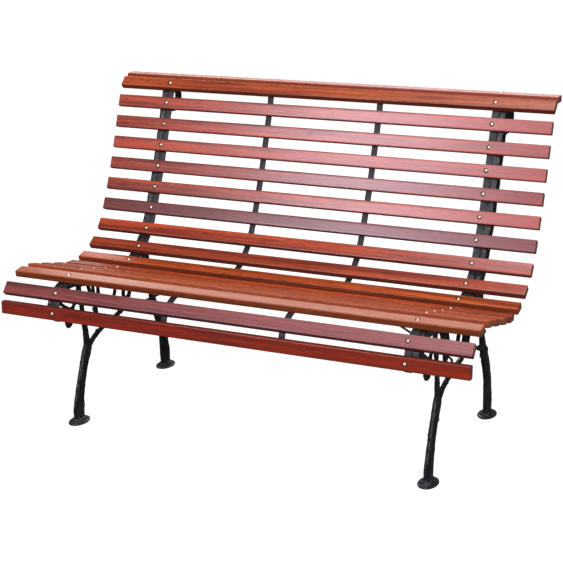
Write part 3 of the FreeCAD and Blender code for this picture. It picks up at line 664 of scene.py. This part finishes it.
# (y from the foot, z, width) up the two legs
FRONT_LEG = ((0, 3, 46), (1, 21, 47), (3, 43, 51), (8, 67, 41), (20, 105, 35), (31, 136, 32),
             (43, 162, 34), (56, 186, 39))
REAR_LEG = ((0, 3, 46), (0, 21, 48), (0, 43, 53), (-4, 78, 45), (-7, 105, 42), (-13, 130, 40),
            (-24, 159, 41), (-38, 187, 37))


def rail_face(length):
    """Depth of the rail's face: a little further back in the bend, where slats span a hollow."""
    entered = min(max((length - BEND_START + BEND_EASE) / BEND_EASE, 0.0), 1.0)
    left = min(max((BEND_END + BEND_EASE - length) / BEND_EASE, 0.0), 1.0)
    return RAIL_FRONT + BEND_HOLLOW * (entered * left)


def rail_point(length):
    """(y, z) in the middle of the rail's web."""
    return station(length, RAIL_FRONT + RAIL_DEPTH / 2)[:2]


def twig(start, end, bow=0.0, width=11.0, end_width=11.0, thickness=TWIG):
    """Rows of a twig between two points, bowed sideways by a share of its length."""
    run, rise = end[0] - start[0], end[1] - start[1]
    rows = []
    for i in range(5):
        share = i / 4
        side = 4 * bow * share * (1 - share)
        rows.append((start[0] + run * share - rise * side, start[1] + rise * share + run * side,
                     width + (end_width - width) * share, thickness))
    return rows


def leg_rows(y, rows):
    return [(y + dy, z, width, 20.0) for dy, z, width in rows]


def forked(fork, top, sizes, thickness):
    """Rows up a straight arm from a fork to its top: (share of the way, width)."""
    lean, rise = top[0] - fork[0], top[1] - fork[1]
    return [(fork[0] + lean * share, fork[1] + rise * share, width, thickness) for share, width in sizes]


def limbs():
    """Centre line, width and thickness of every branch of an end frame: (y, z, width, thickness)."""
    front_top = rail_point(246.0)
    front = leg_rows(0.0, FRONT_LEG) + [FORK_FRONT + (35.0, 18.0), (64.0, 215.0, 24.0, 12.0)]
    arm = [(59.0, 189.0, 26.0, 15.0), (60.0, 208.0, 26.0, 16.0)]
    arm += forked(FORK_FRONT, front_top, ((0.22, 26.0), (0.42, 23.0), (0.65, 17.0), (1.0, 12.0)), TWIG)
    top = rail_point(508.0)
    long_branch = [(57.0, 187.0, 18.0, 14.0), (91.0, 212.0, 18.0, 14.0), (131.0, 227.0, 16.0, 14.0),
                   BOSS + (16.0, 14.0), ELBOW + (14.0, 14.0),
                   ((ELBOW[0] + top[0]) / 2 + 12, (ELBOW[1] + top[1]) / 2 - 10, 13.0, 13.0),
                   top + (13.0, 13.0)]
    stub = [(STUB_END[0] - 2, STUB_END[1] + 2, 20.0, 14.0), (STUB_END[0], STUB_END[1] + 9, 28.0, 19.0),
            (STUB_END[0] + 4, STUB_END[1] + 22, 27.0, 18.0), STUB_FORK + (18.0, 14.0),
            (3.0, 331.0, 12.0, 12.0)]
    loop_front, loop_rear = rail_point(343.0), rail_point(430.0)
    dip = ((loop_front[0] + loop_rear[0]) / 2, 281.0)
    loop = [loop_front + (12.0, 12.0), (loop_front[0] + 3, loop_front[1] - 45, 11.0, 11.0),
            (dip[0] - 26, dip[1] + 13, 11.0, 12.0), dip + (13.0, 12.0),
            (dip[0] + 27, dip[1] + 14, 11.0, 12.0), (loop_rear[0] - 5, loop_rear[1] - 32, 11.0, 11.0),
            loop_rear + (12.0, 12.0)]
    rear = leg_rows(FOOT_SPACING, REAR_LEG) + [FORK_REAR + (29.0, 18.0)]
    rear += forked(FORK_REAR, rail_point(562.0), ((0.25, 20.0), (0.55, 17.0), (1.0, 16.0)), 14.0)
    rear_stub = [(426.0, 211.0, 18.0, 14.0), (401.0, 222.0, 17.0, 14.0), STUB_REAR + (17.0, 14.0)]
    root = (BOSS[0] - 62, BOSS[1] - 8)
    return [front, arm, long_branch, stub, loop, rear, rear_stub,
            twig(STUB_FORK, rail_point(88.0), 0.04), twig((-3.0, 322.0), front_top, -0.1, thickness=10.0),
            twig(root, TWIG_FORK, 0.05, 14.0, 18.0, 13.0),
            twig((113.0, 285.7), rail_point(283.0), -0.03, 15.0, 12.0, 11.0),
            twig((114.0, 279.7), rail_point(314.0), -0.03, 12.0, 11.0, 10.0),
            twig((ELBOW[0] - 6, ELBOW[1] - 3), rail_point(473.0), 0.04, 13.0, 11.0),
            twig((FORK_REAR[0] + 2, FORK_REAR[1] - 4), rail_point(610.0), 0.05, 18.0, 12.0)]


def curl_rows():
    """The rail's top, rolled back and down into a tapering curl."""
    begin = STATIONS[-1] + 4
    y, z, angle = station(begin)
    centre = (y + ROLL * math.sin(angle), z - ROLL * math.cos(angle))
    rows = []
    for i in range(13):
        share = i / 12
        turn = angle - math.radians(CURL_TURN) * share
        width = CURL_WIDTH + (CURL_END_WIDTH - CURL_WIDTH) * share
        thickness = CURL_THICKNESS + (CURL_END_THICKNESS - CURL_THICKNESS) * share
        reach = ROLL - RAIL_FRONT - BEND_HOLLOW - width / 2 - 3 * share
        y, z = centre[0] - reach * math.sin(turn), centre[1] + reach * math.cos(turn)
        rows.append((y, z, width, thickness))
    return rows


def limb_skins():
    """Closed skins of all branches, and their centre lines with the headings."""
    skins, lines = [], []
    for rows in limbs() + [curl_rows()]:
        path = smooth_path(rows, 4.0)
        headings = np.gradient(path[:, :2], axis=0)
        headings /= np.linalg.norm(headings, axis=1)[:, None]
        rings = []
        last = len(path) - 1
        marks = [(0, 0.55, -0.28), (0, 0.85, -0.14)] + [(i, 1.0, 0.0) for i in range(len(path))]
        marks += [(last, 0.85, 0.14), (last, 0.55, 0.28)]
        for i, factor, push in marks:
            y, z, width, thick = path[i]
            hy, hz = headings[i]
            y, z = y + hy * push * width, z + hz * push * width
            ring = []
            for j in range(18):
                turn = 2 * math.pi * j / 18
                out = width / 2 * factor * math.sin(turn)
                ring.append(world(WEB_X + thick / 2 * factor * math.cos(turn), y - hz * out, z + hy * out))
            rings.append(ring)
        skins.append(loft(rings) + (Matrix.Identity(4),))
        lines.append((path, headings))
    return skins, lines


def web_skin():
    """Closed skin of the rail's web along the S-curve, and its centre line."""
    first, last = 2.0, STATIONS[-1] + 14
    rings, rail_line = [], []
    lengths = [first + (last - first) * i / 240 for i in range(241)]
    section = rounded_rectangle(WEB_THICKNESS, RAIL_DEPTH, 5.0, 4, 1)
    for k, length in enumerate(lengths):
        middle = rail_face(length) + RAIL_DEPTH / 2
        trim = {0: 0.72, 1: 0.9}.get(min(k, len(lengths) - 1 - k), 1.0)
        ring = []
        for across, deep in section:
            y, z, _ = station(length, middle - deep * trim)
            ring.append(world(WEB_X + across * trim, y, z))
        rings.append(ring)
        y, z, angle = station(length, middle)
        rail_line.append((y, z, RAIL_DEPTH, WEB_THICKNESS, math.cos(angle), math.sin(angle)))
    rail_line = np.array(rail_line)
    return loft(rings) + (Matrix.Identity(4),), (rail_line[:, :4], rail_line[:, 4:])


def lump_skins():
    """Closed skins of the feet, the knots and the brace's boss."""
    foot = lathe(FOOT_OUTLINE, 40)
    ball = lathe([(math.sin(math.pi * i / 8), -math.cos(math.pi * i / 8)) for i in range(9)], 14)
    boss = lathe([(0, 0), (8.6, 0), (BOSS_D / 2, 1.4), (BOSS_D / 2, 12), (0, 12)], 24)
    oval = Matrix.Diagonal((FOOT_HALF_WIDTH * MM, FOOT_HALF_LENGTH * MM, MM, 1))
    skins = [foot + (Matrix.Translation(world(WEB_X, y, 0)) @ oval,) for y in (0.0, FOOT_SPACING)]
    for x, y, z, radius in KNOTS:
        flattened = Matrix.Diagonal((radius * 0.55 * MM, radius * MM, radius * 1.25 * MM, 1))
        skins.append(ball + (Matrix.Translation(world(x, y, z)) @ flattened,))
    turn = Matrix.Rotation(math.radians(90), 4, "Y") @ Matrix.Diagonal((MM, MM, MM, 1))
    skins.append(boss + (Matrix.Translation(world(WEB_X - BOSS_STAND, *BOSS)) @ turn,))
    return skins


CAST_VOXEL = 0.0017


def remesh(name, skins, voxel):
    """One closed skin round overlapping closed skins, lightly smoothed."""
    blank = new_object(name, make_mesh(name, *put_together(skins)))
    shell = blank.modifiers.new("one_casting", "REMESH")
    shell.mode = "VOXEL"
    shell.voxel_size = voxel
    smooth = blank.modifiers.new("soften", "SMOOTH")
    smooth.factor = 0.5
    smooth.iterations = 3
    mesh = applied(blank)
    bpy.data.objects.remove(blank)
    return mesh


# millimetres over the ground where the bark begins, and over which it comes in
BARE_FOOT, BARK_EASE = 17.0, 17.0
LIMB_APART, CHUNK = 900, 4000


def bark(mesh, lines):
    """Presses lengthwise bark grooves into the casting and notes how deep each point lies."""
    count = len(mesh.vertices)
    points = np.zeros(count * 3)
    normals = np.zeros(count * 3)
    mesh.vertices.foreach_get("co", points)
    mesh.vertex_normals.foreach_get("vector", normals)
    points, normals = points.reshape(-1, 3), normals.reshape(-1, 3)
    flat = points / MM
    flat[:, 1] -= FRONT_Y / MM
    centres = np.vstack([path[:, :2] for path, _ in lines])
    heads = np.vstack([heading for _, heading in lines])
    reach = np.concatenate([path[:, 2] / 2 for path, _ in lines])
    runs = [np.cumsum(np.linalg.norm(np.diff(path[:, :2], axis=0), axis=1)) for path, _ in lines]
    lengths = np.concatenate([np.concatenate([[0], run]) + LIMB_APART * k for k, run in enumerate(runs)])
    rail_start = len(lengths) - len(lines[-1][0])
    nearest = np.zeros(count, int)
    for start in range(0, count, CHUNK):
        part = flat[start:start + CHUNK, 1:]
        gap = np.linalg.norm(part[:, None, :] - centres[None], axis=2) - 0.6 * reach[None]
        nearest[start:start + CHUNK] = gap.argmin(1)
    head, centre = heads[nearest], centres[nearest]
    offset = flat[:, 1:] - centre
    along = lengths[nearest] + (offset * head).sum(1)
    sideways = offset[:, 0] * -head[:, 1] + offset[:, 1] * head[:, 0]
    over = flat[:, 0] - WEB_X
    depth = np.zeros(count)
    for i in range(count):
        a, s, o = along[i], sideways[i], over[i]
        ridge = 1.0 - abs(noise.noise(Vector((o / 5.2, s / 5.2, a / 30.0)))) * 3.0
        crack = 1.0 - abs(noise.noise(Vector((o / 2.6 + 31.0, s / 2.6, a / 13.0)))) * 4.0
        lump = noise.noise(Vector((flat[i, 0] / 15.0, flat[i, 1] / 15.0, flat[i, 2] / 15.0)))
        depth[i] = max(ridge, 0.0) + max(crack, 0.0) * 0.55 - lump * 0.6
    face = (nearest >= rail_start) & (sideways > RAIL_DEPTH / 2 - 2.6)
    depth = np.where(face, np.maximum(depth, 0.0) * 0.9, depth)
    amount = np.clip((flat[:, 2] - BARE_FOOT) / BARK_EASE, 0.0, 1.0)
    near_boss = np.linalg.norm(flat[:, 1:] - np.array(BOSS), axis=1) < BOSS_D / 2 + 1
    amount[near_boss & (over < -4)] = 0.0
    moved = points - normals * (depth * amount)[:, None] * MM
    moved[:, 2] = np.maximum(moved[:, 2], 0.0)
    moved[:, 1] = np.minimum(moved[:, 1], CAD_BOX[1].y - 0.0002)
    mesh.vertices.foreach_set("co", moved.ravel())
    hollow = mesh.attributes.new("hollow", "FLOAT", "POINT")
    hollow.data.foreach_set("value", np.clip(depth * amount / 1.1, 0, 1))
    mesh.update()
    mesh.shade_smooth()


# reach of the rail's smooth strip each side of the bolts, and how much thinner it is than the flange
STRIP_INSIDE, STRIP_OUTSIDE, STRIP_THINNER, STRIP_RINGS = 9.0, 11.0, 0.6, 300


def rail_flange():
    """Smooth flat face of the rail that the slats lie on, a plain strip with eased edges."""
    width = STRIP_INSIDE + STRIP_OUTSIDE
    middle = BOLT_X + (STRIP_OUTSIDE - STRIP_INSIDE) / 2
    thickness = FLANGE_THICKNESS - STRIP_THINNER
    section = rounded_rectangle(width, thickness, 0.9, 3, 2)
    first, last = 0.5, STATIONS[-1] + SLAT_WIDTH / 2
    rings = []
    for k in range(STRIP_RINGS + 1):
        length = first + (last - first) * k / STRIP_RINGS
        face = rail_face(length)
        trim = 0.6 if k in (0, STRIP_RINGS) else 0.0
        ring = []
        for across, deep in section:
            depth = face + thickness / 2 - deep * (1 - trim / 3)
            y, z, _ = station(length, depth)
            ring.append(world(middle + across * (1 - trim / width * 2), y, z))
        rings.append(ring)
    return loft(rings)


def mirrored(mesh, name):
    """Left-hand copy of a right-hand mesh."""
    copy = mesh.copy()
    copy.name = name
    copy.transform(Matrix.Diagonal((-1, 1, 1, 1)))
    copy.flip_normals()
    return copy


def build_end_frames():
    skins, lines = limb_skins()
    web, rail_line = web_skin()
    casting = remesh("branch_casting", skins + [web] + lump_skins(), CAST_VOXEL)
    bark(casting, lines + [rail_line])
    casting.materials.append(BARK_PAINT)
    face = make_mesh("rail_face", *rail_flange())
    finish_mesh(face, 50)
    left_casting, left_face = mirrored(casting, "branch_casting_left"), mirrored(face, "rail_face_left")
    for side, branch, strip in (("right", casting, face), ("left", left_casting, left_face)):
        node = side + "_end_frame"
        add_piece(side + "_branch_casting", branch, BARK_PAINT, [node])
        add_piece(side + "_rail_face", strip, FACE_PAINT, [node])


# ---- straps, braces and fasteners ----
def seat_point(length, along, behind):
    """(y, z) beside a slat's middle: a distance up the board and a depth behind its face."""
    y, z, angle = station(length)
    return (y + along * math.cos(angle) + behind * math.sin(angle),
            z + along * math.sin(angle) - behind * math.cos(angle))


def strap_mesh():
    """Flat bar, straight behind each slat and bent between them."""
    half, middle = SLAT_WIDTH / 2, SLAT_THICKNESS + STRAP_THICKNESS / 2 + PAINT_GAP
    points = []
    for length in STATIONS:
        points += [seat_point(length, share * half, middle) for share in (-1.0, -0.5, 0.0, 0.5, 1.0)]
    points[:2] = [seat_point(STATIONS[0], -STRAP_TAIL + d, middle) for d in (0.0, 0.8)]
    points[-2:] = [seat_point(STATIONS[-1], STRAP_TAIL - d, middle) for d in (0.8, 0.0)]
    path = np.array(points)
    steps = np.diff(path, axis=0)
    steps /= np.linalg.norm(steps, axis=1)[:, None]
    section = rounded_rectangle(STRAP_WIDTH, STRAP_THICKNESS, 0.8, 3, 1)
    rings = []
    for i, (y, z) in enumerate(path):
        before, after = steps[max(i - 1, 0)], steps[min(i, len(steps) - 1)]
        heading = before + after
        heading /= np.linalg.norm(heading)
        stretch = 1 / max(float((heading * after).sum()), 0.7)
        trim = 0.93 if i in (0, len(path) - 1) else 1.0
        rings.append([world(STRAP_X + across * trim, y - heading[1] * deep * stretch * trim,
                            z + heading[0] * deep * stretch * trim) for across, deep in section])
    mesh = make_mesh("back_strap", *loft(rings))
    finish_mesh(mesh, 30)
    return mesh


def brace_mesh():
    """Round rod, hammered flat at both ends round its screws."""
    high = slat_place(STATIONS[BRACE_SLAT], BRACE_REACH)
    palm, thick, rod = BRACE_PALM / 2, PALM_THICKNESS / 2, BRACE_D / 2
    out_y, out_z = high.to_3x3() @ Vector((0, 1, 0)), high.to_3x3() @ Vector((0, 0, 1))
    upper = high @ Vector((0, 0, -(SLAT_THICKNESS + thick) * MM))
    lower = world(WEB_X - BOSS_STAND - thick, *BOSS)
    start = lower + Vector((0, 0, BRACE_PALM * MM))
    end = upper + Vector((BRACE_PALM * MM, 0, -1.0 * MM))
    run = (end - start).normalized()
    flat_side, inward = Vector((0, 1, 0)), Vector((-1, 0, 0))
    rings = []

    def ring(centre, wide, flat, half_wide, half_flat):
        points = []
        for i in range(20):
            turn = 2 * math.pi * i / 20
            c, s = math.cos(turn), math.sin(turn)
            power = 0.55 if half_wide > 1.6 * half_flat else 1.0
            points.append(centre + wide * (half_wide * math.copysign(abs(c) ** power, c) * MM)
                          + flat * (half_flat * math.copysign(abs(s) ** power, s) * MM))
        rings.append(points)

    palm_steps = [(step, math.sqrt(max(palm ** 2 - min(step, 0.0) ** 2, 0.8)))
                  for step in (-8.9, -8.2, -6.4, -3.5, 0.0, 5.0, 9.0)]
    for step, half in palm_steps:
        ring(lower + Vector((0, 0, step * MM)), flat_side, inward, half, thick)
    for share, half in ((0.35, 7.4), (0.7, 5.0)):
        turning = inward.lerp(run.cross(flat_side), share * 0.5)
        centre = lower.lerp(start, 0.55 + 0.45 * share)
        ring(centre, flat_side, turning, half, thick + (rod - thick) * share)
    across = run.cross(flat_side).normalized()
    for share in (0.02, 0.1, 0.3, 0.5, 0.7, 0.9, 0.98):
        sag = 0.8 * math.sin(math.pi * share)
        ring(start.lerp(end, share) + Vector((0, 0, -sag * MM)), flat_side, across, rod, rod)
    for share, half in ((0.3, 5.0), (0.65, 7.4)):
        ring(end.lerp(upper, share * 0.45), out_y, out_z, half, rod + (thick - rod) * share)
    for step, half in reversed(palm_steps):
        ring(upper + Vector((step * MM, 0, 0)), out_y, out_z, half, thick)
    mesh = make_mesh("brace_rod", *loft(rings))
    finish_mesh(mesh, 55)
    return mesh


def dome_head(head_d, head_h, shank_d, shank_length, threads=0.0):
    """Outline of a round-headed bolt with its head's underside at height 0."""
    head, shank, pitch = head_d / 2, shank_d / 2, 1.0
    ball = (head * head + head_h * head_h) / 2 / head_h
    outline = [(0, head_h)]
    for i in range(1, 10):
        radius = head * 0.985 * i / 9
        outline.append((radius, math.sqrt(ball * ball - radius * radius) - ball + head_h))
    outline += [(head, 0.25), (head - 0.15, 0.0), (shank, 0.0)]
    depth, plain = 0.0, shank_length - threads
    outline.append((shank, -plain))
    while threads - depth > pitch:
        outline += [(shank * 0.86, -plain - depth - pitch / 2), (shank, -plain - depth - pitch)]
        depth += pitch
    outline += [(shank * 0.8, -shank_length), (0, -shank_length)]
    return outline


def scaled(outline):
    """Outline in millimetres, turned into metres."""
    return [(r * MM, z * MM) for r, z in outline]


def hexagon_nut():
    """Nut with chamfered corners and a threaded mouth."""
    across = NUT_ACROSS / 2
    rings = []
    levels = ((0.62, 0.5, True), (0.66, 0.0, True), (0.94, 0.0, True), (1.0, 0.45, False),
              (1.0, NUT_HEIGHT - 0.45, False), (0.94, NUT_HEIGHT, True), (0.66, NUT_HEIGHT, True),
              (0.62, NUT_HEIGHT - 0.5, True))
    for factor, height, is_round in levels:
        ring = []
        for i in range(36):
            turn = 2 * math.pi * i / 36
            corner = across / math.cos((turn + math.pi / 6) % (math.pi / 3) - math.pi / 6)
            radius = across * factor if is_round else min(corner, across * 1.13)
            ring.append(Vector((radius * math.cos(turn), radius * math.sin(turn), height)) * MM)
        rings.append(ring)
    return loft(rings)


def washer_ring():
    outer, inner, height = WASHER_D / 2, BOLT_D / 2 + 0.3, WASHER_THICKNESS
    outline = ((inner, 0.1), (outer - 0.25, 0.0), (outer, 0.25), (outer, height - 0.25),
               (outer - 0.25, height), (inner, height - 0.1))
    rings = [[point * MM for point in circle(radius, level, 32)] for radius, level in outline]
    return loft(rings + rings[:1], False)


def row_of(part, x, drop, flip=False, turn_seed=0.0):
    """Copies of a fastener at every slat, dropped behind the slats' front faces."""
    copies = []
    for i, length in enumerate(STATIONS):
        place = slat_place(length, x) @ Matrix.Translation((0, 0, -drop * MM))
        if flip:
            place = place @ Matrix.Rotation(math.pi, 4, "X")
        spin = math.radians((turn_seed + 67.0 * i) % 360)
        copies.append(part + (place @ Matrix.Rotation(spin, 4, "Z"),))
    return put_together(copies)


def both_sides(name, geometry, material, crease):
    """A right-hand mesh and its mirror image, each standing for its own solid node."""
    mesh = geometry if isinstance(geometry, bpy.types.Mesh) else make_mesh(name, *geometry)
    mesh.name = name
    finish_mesh(mesh, crease)
    add_piece("right_%s_made" % name, mesh, material, ["right_" + name])
    add_piece("left_%s_made" % name, mirrored(mesh, name + "_left"), material, ["left_" + name])


def build_hardware():
    washer_drop = FLANGE_BACK + WASHER_THICKNESS
    nut_drop = washer_drop + NUT_HEIGHT
    shank = nut_drop - BOLT_SEAT_DEPTH + BOLT_TAIL
    bolt = lathe(scaled(dome_head(BOLT_HEAD_D, BOLT_HEAD_H - HEAD_WEAR, BOLT_D, shank, THREAD_LENGTH)), 32)
    washers = row_of(washer_ring(), BOLT_X, washer_drop)
    nuts = row_of(hexagon_nut(), BOLT_X, nut_drop, turn_seed=20.0)
    both_sides("slat_bolts", row_of(bolt, BOLT_X, BOLT_SEAT_DEPTH), BRASS, 35)
    both_sides("slat_washers", washers, ZINC, 30)
    both_sides("slat_nuts", nuts, ZINC, 30)
    screw, short = (lathe(scaled(dome_head(SCREW_HEAD_D, SCREW_HEAD_H, SCREW_D, plate + SCREW_BITE)), 24)
                    for plate in (STRAP_THICKNESS, PALM_THICKNESS))
    strap_screws = row_of(screw, STRAP_X, SLAT_THICKNESS + STRAP_THICKNESS, flip=True)
    both_sides("strap_screws", strap_screws, ZINC, 35)
    both_sides("strap", strap_mesh(), STRAP_PAINT, 30)
    both_sides("brace", brace_mesh(), BRACE_PAINT, 55)
    sunk = Matrix.Translation((0, 0, -(SLAT_THICKNESS + PALM_THICKNESS) * MM))
    under = slat_place(STATIONS[BRACE_SLAT], BRACE_REACH) @ sunk @ Matrix.Rotation(math.pi, 4, "X")
    beside = Matrix.Translation(world(WEB_X - BOSS_STAND - PALM_THICKNESS, *BOSS))
    beside = beside @ Matrix.Rotation(-math.pi / 2, 4, "Y")
    brace_screws = put_together([short + (under,), short + (beside,)])
    both_sides("brace_screws", brace_screws, ZINC, 35)


# ---- studio ----
FLOOR_GLOW, WORLD_STRENGTH = 1.0, 0.10


def build_floor():
    verts = [(-16, -12, 0), (16, -12, 0), (16, 26, 0), (-16, 26, 0)]
    floor = new_object("floor", make_mesh("floor", verts, [(0, 1, 2, 3)]))
    material, n, shader, where = new_material("floor_paper")
    cloud = n.noise(where, 0.8, 2.0)
    n.join(n.mix(cloud, (0.15, 0.15, 0.15, 1.0), (0.17, 0.17, 0.17, 1.0)), shader.inputs["Base Color"])
    shader.inputs["Roughness"].default_value = 0.9
    shader.inputs["Specular IOR Level"].default_value = 0.1
    shader.inputs["Emission Color"].default_value = (1.0, 1.0, 1.0, 1.0)
    seen = n.add("ShaderNodeLightPath").outputs["Is Camera Ray"]
    n.join(n.times(seen, FLOOR_GLOW), shader.inputs["Emission Strength"])
    floor.data.materials.append(material)
    floor.location.z = -0.0005


def softbox(name, place, target, size, power, colour=(1.0, 1.0, 1.0)):
    light = bpy.data.lights.new(name, "AREA")
    light.shape = "RECTANGLE"
    light.size, light.size_y = size
    light.energy = power
    light.color = colour
    lamp = new_object(name, light)
    lamp.location = place
    lamp.rotation_euler = (Vector(target) - Vector(place)).to_track_quat("-Z", "Y").to_euler()


def build_studio():
    world_light = bpy.data.worlds.new("white_room")
    world_light.use_nodes = True
    background = world_light.node_tree.nodes["Background"]
    background.inputs["Color"].default_value = (1.0, 1.0, 1.0, 1.0)
    n = Nodes(world_light.node_tree)
    seen = n.add("ShaderNodeLightPath").outputs["Is Camera Ray"]
    n.join(n.math("MAXIMUM", seen, WORLD_STRENGTH), background.inputs["Strength"])
    bpy.context.scene.world = world_light
    bpy.context.scene.view_settings.view_transform = "Standard"
    softbox("key_box", (2.0, -3.6, 2.4), (0.0, 0.0, 0.5), (1.6, 1.6), 88)
    softbox("sheen_box", (-1.55, -3.5, 2.6), (0.1, 0.2, 0.6), (1.0, 1.3), 88, (0.92, 0.86, 1.0))
    softbox("rear_box", (-1.6, 3.3, 2.7), (-0.3, -0.2, 0.4), (3.2, 2.2), 66)
    softbox("top_box", (0.5, -0.6, 3.4), (0.0, -0.1, 0.4), (3.0, 2.0), 84)


CAMERA_ANGLES, CAMERA_PLACE, CAMERA_LENS = (25.78, 17.19, -1.19), (1.5722, -3.0079, 1.5100), 90.24


def build_camera():
    azimuth, elevation, roll = (math.radians(a) for a in CAMERA_ANGLES)
    forward = Vector((-math.sin(azimuth) * math.cos(elevation), math.cos(azimuth) * math.cos(elevation),
                      -math.sin(elevation)))
    right = Vector((math.cos(azimuth), math.sin(azimuth), 0))
    up = right.cross(forward)
    right, up = (math.cos(roll) * right + math.sin(roll) * up,
                 -math.sin(roll) * right + math.cos(roll) * up)
    camera = new_object("camera", bpy.data.cameras.new("camera"))
    camera.data.sensor_width = 36.0
    camera.data.lens = CAMERA_LENS
    x, y, z = CAMERA_PLACE
    camera.matrix_world = Matrix((
        (right.x, up.x, -forward.x, x), (right.y, up.y, -forward.y, y + FRONT_Y),
        (right.z, up.z, -forward.z, z), (0, 0, 0, 1)))
    bpy.context.scene.camera = camera


build_slats()
build_end_frames()
build_hardware()
build_floor()
build_studio()
build_camera()
